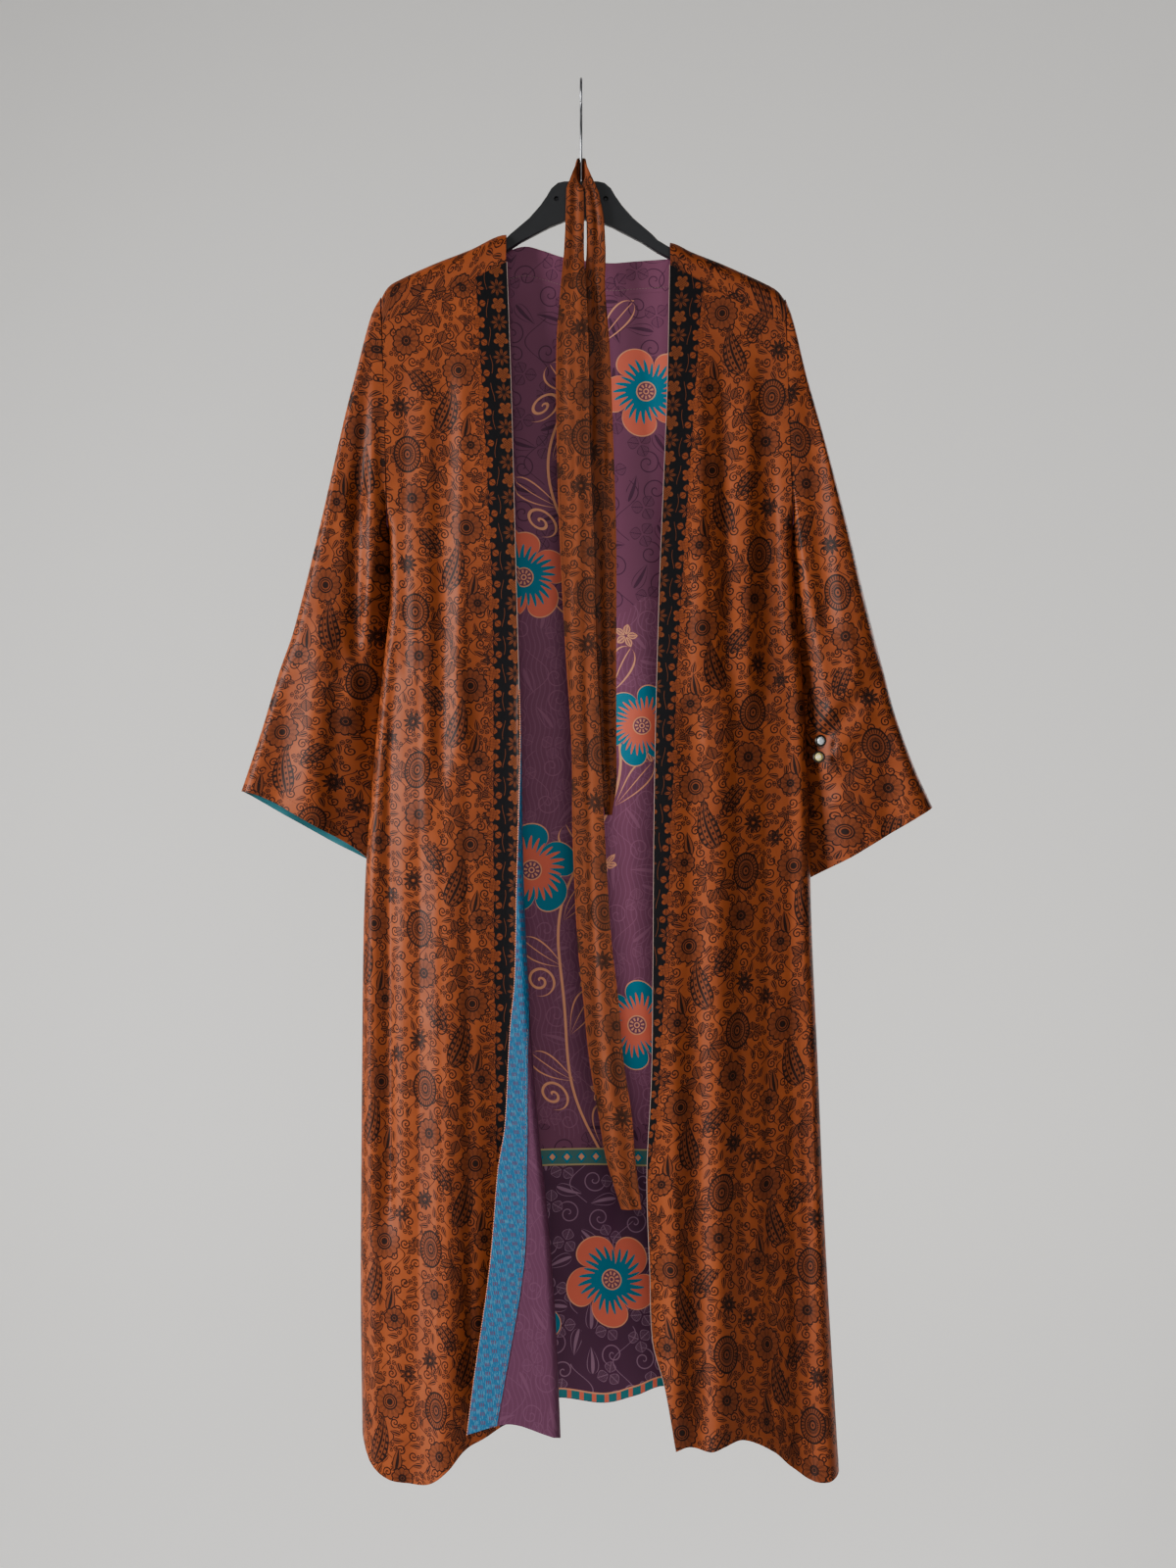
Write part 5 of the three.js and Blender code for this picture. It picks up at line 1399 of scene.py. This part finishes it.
def tube(name, path, radius, sides, material):
    """A round wire along a path that lies in the plane x = 0, with rounded ends."""
    along = np.gradient(path, axis=0)
    along /= np.linalg.norm(along, axis=1, keepdims=True)
    across = np.cross(along, [1.0, 0, 0])
    angle = np.arange(sides) / sides * 2 * math.pi
    ring = np.cos(angle)[None, :, None] * np.array([1.0, 0, 0])
    ring = ring + np.sin(angle)[None, :, None] * across[:, None, :]
    rings = path[:, None, :] + radius * ring
    caps = []
    for end, out in ((0, -1), (-1, 1)):
        for lift in (0.5, 0.87):
            drawn_in = radius * math.sqrt(1 - lift ** 2)
            caps.append(path[end] + out * along[end] * radius * lift + ring[end] * drawn_in)
    rings = np.concatenate([[caps[1], caps[0]], rings, [caps[2], caps[3]]])
    tips = [path[0] - along[0] * radius, path[-1] + along[-1] * radius]
    vertices = np.concatenate([rings.reshape(-1, 3), tips]) * MM
    n = len(rings)
    last = (n - 1) * sides
    faces = ring_faces(n, sides)
    faces += [(n * sides, (i + 1) % sides, i) for i in range(sides)]
    faces += [(n * sides + 1, last + i, last + (i + 1) % sides) for i in range(sides)]
    piece = new_piece(name, vertices, faces, [material])
    piece.data.polygons.foreach_set("use_smooth", np.ones(len(faces), bool))
    return piece


crook_middle = WIRE_RADIUS - CROOK_RADIUS
crook = [(0, CROOK_RADIUS * math.cos(a), crook_middle + CROOK_RADIUS * math.sin(a))
         for a in map(math.radians, range(*CROOK_DEGREES))]
shank = [(0, 0, mix(SHANK_FOOT, -SHANK_STRAIGHT, t)) for t in (0, 0.5, 1)]
hook_path = through(shank + crook, WIRE_STEPS)
hook_wire = tube("hook_wire", hook_path, WIRE_RADIUS, WIRE_SIDES, plated_wire)
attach(hook_wire, "root")
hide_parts("hook")
print("wire", hook_path.shape)

# %% [markdown]
# The hanger's own solid has the right shape and keeps it. Beside the shank it has two
# holes through its body, and a dark pin sits sunk in each.

# %% Hanger and its pins
PIN_X, PIN_DROP, PIN_RADIUS, PIN_SUNK, PIN_SIDES = 26.3, 127.0, 1.66, 1.1, 20
HOLE_REACH = 2.5
for slot in bpy.data.objects["hanger"].material_slots:
    slot.material = black_plastic
hanger_points = np.array([v.co for v in bpy.data.objects["hanger"].data.vertices]) / MM
for side, turn in [("left", -1), ("right", 1)]:
    middle = np.array([turn * PIN_X, -PIN_DROP])
    near = hanger_points[np.linalg.norm(hanger_points[:, [0, 2]] - middle, axis=1) < HOLE_REACH]
    front, behind = near[:, 1].min() + PIN_SUNK, near[:, 1].max() - PIN_SUNK
    angle = np.arange(PIN_SIDES) / PIN_SIDES * 2 * math.pi
    rim = middle + PIN_RADIUS * np.stack([np.cos(angle), np.sin(angle)], axis=1)
    corners = [(x * MM, y * MM, z * MM) for y in (front, behind) for x, z in rim]
    caps = [tuple(range(PIN_SIDES))[::-1], tuple(range(PIN_SIDES, 2 * PIN_SIDES))]
    faces = [face[::-1] for face in ring_faces(2, PIN_SIDES) + caps]
    pin = new_piece(f"hanger_pin_{side}", corners, faces, [black_plastic])
    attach(pin, "root")
    print(pin.name, "from", round(float(front), 2), "to", round(float(behind), 2), "mm")

# %% [markdown]
# Each stud is a ring with a raised rim, and a stone with cut facets seated in it. They lie
# flat on the sleeve, so each takes the tilt of the solid that it stands for.

# %% Studs
RING_PROFILE = [(3.6, 0.4), (5.9, 0.3), (6.5, 0.9), (6.2, 2.0), (5.4, 2.6), (4.6, 2.5), (4.1, 1.9)]
STONE_PROFILE = [(0.0, 0.6), (4.3, 1.3), (4.4, 1.9), (3.3, 3.0), (2.2, 3.5), (0.0, 3.5)]
RING_SIDES, STONE_SIDES, WELD = 40, 10, 1e-7


def lathe(profile, sides):
    angles = [i / sides * 2 * math.pi for i in range(sides)]
    return [(radius * math.cos(a), radius * math.sin(a), height)
            for radius, height in profile for a in angles]


def tilt_of(name):
    """The foot of a stud's solid and its axis, from the solid's own placing."""
    solid = bpy.data.objects[name]
    corners = np.array([solid.matrix_world @ v.co for v in solid.data.vertices])
    middle = corners.mean(axis=0)
    axis = np.linalg.svd(corners - middle)[2][-1]
    axis = axis if axis[1] < 0 else -axis
    heights = (corners - middle) @ axis
    return middle + axis * heights.min(), axis


for name, glass in [("stud_upper", clear_stone), ("stud_lower", straw_stone)]:
    foot, axis = tilt_of(name)
    turn = Vector(axis).to_track_quat("Z", "Y").to_matrix()
    for part, profile, sides, material in [
            ("ring", RING_PROFILE, RING_SIDES, ring_dark), ("stone", STONE_PROFILE, STONE_SIDES, glass)]:
        placed = [Vector(foot) + turn @ (Vector(v) * MM) for v in lathe(profile, sides)]
        faces = ring_faces(len(profile), sides, closed=part == "ring")
        body = new_piece(f"{name}_{part}", placed, faces, [material])
        body.data.validate()
        clean = bmesh.new()
        clean.from_mesh(body.data)
        bmesh.ops.remove_doubles(clean, verts=clean.verts, dist=WELD)
        bmesh.ops.recalc_face_normals(clean, faces=clean.faces)
        clean.to_mesh(body.data)
        clean.free()
        body.data.polygons.foreach_set("use_smooth", np.full(len(body.data.polygons), part == "ring"))
        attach(body, "root")
        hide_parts(name)
    print(name, "leans", [round(float(a), 2) for a in axis])

# %% [markdown]
# Thread follows the cut edges and the seams. Geometry nodes lay it: one tree sweeps a round
# edging along a line, and one sets short stitches or loops along it, end to end. A line is
# taken from a column or a row of a cloth's grid and lifted off its face.

# %% Trees for edging and stitches
def new_tree(name, sizes):
    tree = bpy.data.node_groups.new(name, "GeometryNodeTree")
    tree.interface.new_socket("Line", in_out="INPUT", socket_type="NodeSocketGeometry")
    for label, value in sizes:
        socket = tree.interface.new_socket(label, in_out="INPUT", socket_type="NodeSocketFloat")
        socket.default_value = value
    tree.interface.new_socket("Thread", in_out="INPUT", socket_type="NodeSocketMaterial")
    tree.interface.new_socket("Result", in_out="OUTPUT", socket_type="NodeSocketGeometry")
    return tree, tree.nodes.new("NodeGroupInput"), tree.nodes.new("NodeGroupOutput")


def add_node(tree, kind, settings=None, inputs=None):
    node = tree.nodes.new(kind)
    for name, value in (settings or {}).items():
        setattr(node, name, value)
    for name, value in (inputs or {}).items():
        if isinstance(value, bpy.types.NodeSocket):
            tree.links.new(value, node.inputs[name])
        else:
            node.inputs[name].default_value = value
    return node


def finish_tree(tree, given, result, geometry):
    smooth = add_node(tree, "GeometryNodeSetShadeSmooth", None, {"Geometry": geometry})
    real = add_node(tree, "GeometryNodeRealizeInstances", None, {"Geometry": smooth.outputs[0]})
    dyed = add_node(tree, "GeometryNodeSetMaterial", None, {
        "Geometry": real.outputs[0], "Material": given.outputs["Thread"]})
    tree.links.new(dyed.outputs[0], result.inputs["Result"])
    return tree


def edging_tree():
    tree, given, result = new_tree("edging", [("Thickness", 0.001)])
    curve = add_node(tree, "GeometryNodeMeshToCurve", None, {"Mesh": given.outputs["Line"]})
    half = add_node(tree, "ShaderNodeMath", {"operation": "MULTIPLY"}, {
        0: given.outputs["Thickness"], 1: 0.5})
    round_section = add_node(tree, "GeometryNodeCurvePrimitiveCircle", None, {
        "Resolution": 6, "Radius": half.outputs[0]})
    swept = add_node(tree, "GeometryNodeCurveToMesh", None, {
        "Curve": curve.outputs[0], "Profile Curve": round_section.outputs[0], "Fill Caps": True})
    return finish_tree(tree, given, result, swept.outputs[0])


def stitch_tree():
    tree, given, result = new_tree("stitches", [
        ("Spacing", 0.003), ("Length", 0.002), ("Thickness", 0.0006)])
    curve = add_node(tree, "GeometryNodeMeshToCurve", None, {"Mesh": given.outputs["Line"]})
    spaced = add_node(tree, "GeometryNodeResampleCurve", {"mode": "LENGTH"}, {
        "Curve": curve.outputs[0], "Length": given.outputs["Spacing"]})
    along = add_node(tree, "GeometryNodeInputTangent")
    turn = add_node(tree, "FunctionNodeAlignRotationToVector", {"axis": "Z"}, {
        "Vector": along.outputs[0]})
    bead = add_node(tree, "GeometryNodeMeshUVSphere", None, {"Segments": 6, "Rings": 4, "Radius": 0.5})
    size = add_node(tree, "ShaderNodeCombineXYZ", None, {
        "X": given.outputs["Thickness"], "Y": given.outputs["Thickness"], "Z": given.outputs["Length"]})
    laid = add_node(tree, "GeometryNodeInstanceOnPoints", None, {
        "Points": spaced.outputs[0], "Instance": bead.outputs[0], "Rotation": turn.outputs[0],
        "Scale": size.outputs[0]})
    return finish_tree(tree, given, result, laid.outputs[0])


EDGING, STITCHES = edging_tree(), stitch_tree()


def lay_thread(name, tree, lines, material, slot, **sizes):
    """Lay one tree along several lines of points, in millimetres, as one plain mesh."""
    vertices, edges = [], []
    for line in lines:
        edges += [(len(vertices) + i, len(vertices) + i + 1) for i in range(len(line) - 1)]
        vertices += [tuple(p) for p in np.asarray(line) * MM]
    mesh = bpy.data.meshes.new(name)
    mesh.from_pydata(vertices, edges, [])
    piece = bpy.data.objects.new(name, mesh)
    bpy.context.collection.objects.link(piece)
    modifier = piece.modifiers.new("thread", "NODES")
    modifier.node_group = tree
    for socket in tree.interface.items_tree:
        if socket.in_out == "INPUT" and socket.name == "Thread":
            modifier[socket.identifier] = material
        elif socket.in_out == "INPUT" and socket.name.lower() in sizes:
            modifier[socket.identifier] = sizes[socket.name.lower()] * MM
    bpy.context.view_layer.update()
    done = piece.evaluated_get(bpy.context.evaluated_depsgraph_get())
    plain = bpy.data.meshes.new_from_object(done)
    piece.modifiers.clear()
    piece.data = plain
    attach(piece, "root")
    print(name, len(plain.polygons), "faces")


# %% [markdown]
# A thin corded edging finishes both front edges. Where the left edge is turned back it
# carries a picot: a row of small peach loops. Hems, the facing's seams and the sash's two
# long edges are stitched by machine, a few millimetres in.

# %% Edging, picot and stitches
PICOT_DROP, PICOT_LIFT = 655, -0.4
ON_LINING, ON_SILK, ON_SASH = -1.5, 0.35, 1.0
SEAM_FROM, SIDES_FREE, SASH_FREE = 150, 12, 2
HEM_ROW, CUFF_ROW = -3, -4


def lifted(points, normals, by):
    return points + normals * by


edge_left, edge_right = front_left_grid[:, 0], front_right_grid[:, -1]
picot_from = int(np.argmin(np.abs(-edge_left[:, 2] - PICOT_DROP)))
lay_thread("front_edging", EDGING, [edge_left[:picot_from + 1], edge_right], pale_thread,
           "outer_silk", thickness=0.95)
picot_line = lifted(edge_left[picot_from:], left_normals[picot_from:, 0], PICOT_LIFT)
lay_thread("picot_edging", STITCHES, [picot_line], peach_thread, "blue_facing", spacing=2.6,
           length=2.1, thickness=1.5)

seam = (slice(SEAM_FROM, None), TURN_FACING - 1)
cross_seam = (FACING_END - 1, slice(SIDES_FREE, -SIDES_FREE))
lay_thread("facing_stitches", STITCHES, [
    lifted(front_left_grid[seam], left_normals[seam], ON_LINING),
    lifted(back_grid[cross_seam], back_normals[cross_seam], ON_LINING)],
    pale_thread, "plum_lining", spacing=3.2, length=2.2, thickness=0.55)

hem_lines = [lifted(grid[HEM_ROW], normals[HEM_ROW], ON_SILK) for grid, normals in [
    (front_left_grid, left_normals), (front_right_grid, normals_of(front_right_grid)),
    (back_grid, back_normals)]]
for grid in (sleeve_left_grid, sleeve_right_grid):
    cuff = lifted(grid[CUFF_ROW], normals_of(grid, True)[CUFF_ROW], ON_SILK)
    hem_lines.append(np.concatenate([cuff, cuff[:1]]))
lay_thread("hem_stitches", STITCHES, hem_lines, rust_thread, "outer_silk", spacing=3.4,
           length=2.3, thickness=0.5)

sash_lines = lifted(sash_grid, normals_of(sash_grid), ON_SASH)[SASH_FREE:-SASH_FREE]
lay_thread("sash_stitches", STITCHES, [sash_lines[:, 1], sash_lines[:, -2]], rust_thread,
           "sash_silk", spacing=3.4, length=2.3, thickness=0.55)

# %% [markdown]
# The robe hangs in front of a plain pale wall that sweeps into a pale floor, with the
# camera straight in front at the height of the robe's middle. A narrow-spread panel on the
# left gives the folds their shade, a weak one in front fills it, and a third behind lights
# the back. The wall glows faintly, throws no shadow and can be seen through from behind, so
# that the back shows too. The sky is bright where the camera sees it and gives little light.

# %% Studio
WALL, WALL_ROUGH, WALL_GLOW = tint(246, 244, 240), 0.9, 0.16
WALL_HALF_WIDE, SWEEP, SWEEP_STEPS = 4.0, 0.6, 12
FRONT_EDGE, SWEEP_START, WALL_TOP = (-4.0, -1.9), (0.5, -1.3), (1.1, 3.0)
SKY, SKY_SEEN, SKY_LIGHT = (1, 0.99, 0.97, 1), 0.5, 0.09
CAMERA_AT, SENSOR_HIGH, LENS = (0.00735, -2.4, -0.753), 36, 51.43


def panel(name, at, size, watts, aim, spread=180):
    lamp = bpy.data.lights.new(name, "AREA")
    lamp.shape, lamp.size, lamp.size_y, lamp.energy = "RECTANGLE", *size, watts
    lamp.spread = math.radians(spread)
    holder = bpy.data.objects.new(name, lamp)
    holder.location = at
    holder.rotation_euler = (Vector(aim) - Vector(at)).to_track_quat("-Z", "Y").to_euler()
    bpy.context.collection.objects.link(holder)


def see_through_from_behind(finish):
    """Seen from behind, the wall shows what stands in front of it."""
    tree = finish.material.node_tree
    out = next(node for node in tree.nodes if node.type == "OUTPUT_MATERIAL")
    paint = out.inputs["Surface"].links[0].from_socket
    mixed = tree.nodes.new("ShaderNodeMixShader")
    tree.links.new(tree.nodes.new("ShaderNodeNewGeometry").outputs["Backfacing"], mixed.inputs[0])
    tree.links.new(paint, mixed.inputs[1])
    tree.links.new(tree.nodes.new("ShaderNodeBsdfTransparent").outputs[0], mixed.inputs[2])
    tree.links.new(mixed.outputs[0], out.inputs["Surface"])


def backdrop():
    finish = Finish("pale_wall")
    finish.surface(WALL, WALL_ROUGH, Emission_Color=WALL, Emission_Strength=WALL_GLOW)
    see_through_from_behind(finish)
    y, z = SWEEP_START
    bend = [(y + SWEEP * math.sin(a), z - SWEEP * math.cos(a))
            for a in np.linspace(0, math.pi / 2, SWEEP_STEPS)]
    profile = [FRONT_EDGE, *bend, WALL_TOP]
    vertices = [(x, y, z) for x in (-WALL_HALF_WIDE, WALL_HALF_WIDE) for y, z in profile]
    n = len(profile)
    faces = [(i, n + i, n + i + 1, i + 1) for i in range(n - 1)]
    floor = new_piece("pale_floor", vertices, faces, [finish.material])
    floor.data.polygons.foreach_set("use_smooth", np.ones(len(faces), bool))
    floor.visible_shadow = False


backdrop()
panel("panel_left", (-2.9, -1.5, -0.2), (1.3, 2.0), 37, (0, 0, -1.05), 75)
panel("panel_front", (0.3, -3.2, -0.4), (1.6, 1.6), 23, (0, 0, -0.9))
panel("panel_back", (2.7, 2.9, 0.2), (1.6, 2.0), 90, (0, 0, -0.8))
world = bpy.data.worlds.new("soft_light")
world.use_nodes = True
sky = world.node_tree.nodes["Background"]
sky.inputs["Color"].default_value = SKY
seen = world.node_tree.nodes.new("ShaderNodeLightPath").outputs["Is Camera Ray"]
glow = world.node_tree.nodes.new("ShaderNodeMath")
glow.operation = "MULTIPLY_ADD"
glow.inputs[1].default_value, glow.inputs[2].default_value = SKY_SEEN, SKY_LIGHT
world.node_tree.links.new(seen, glow.inputs[0])
world.node_tree.links.new(glow.outputs[0], sky.inputs["Strength"])
scene = bpy.context.scene
scene.world = world

lens = bpy.data.cameras.new("camera")
lens.sensor_fit, lens.sensor_height, lens.lens = "VERTICAL", SENSOR_HIGH, LENS
camera = bpy.data.objects.new("camera", lens)
camera.location, camera.rotation_euler = CAMERA_AT, (math.pi / 2, 0, 0)
bpy.context.collection.objects.link(camera)
scene.camera = camera
scene.cycles.max_bounces, scene.cycles.diffuse_bounces, scene.cycles.glossy_bounces = 2, 1, 1
print("lights", len(bpy.data.lights), "and a camera at", CAMERA_AT)

# %% [markdown]
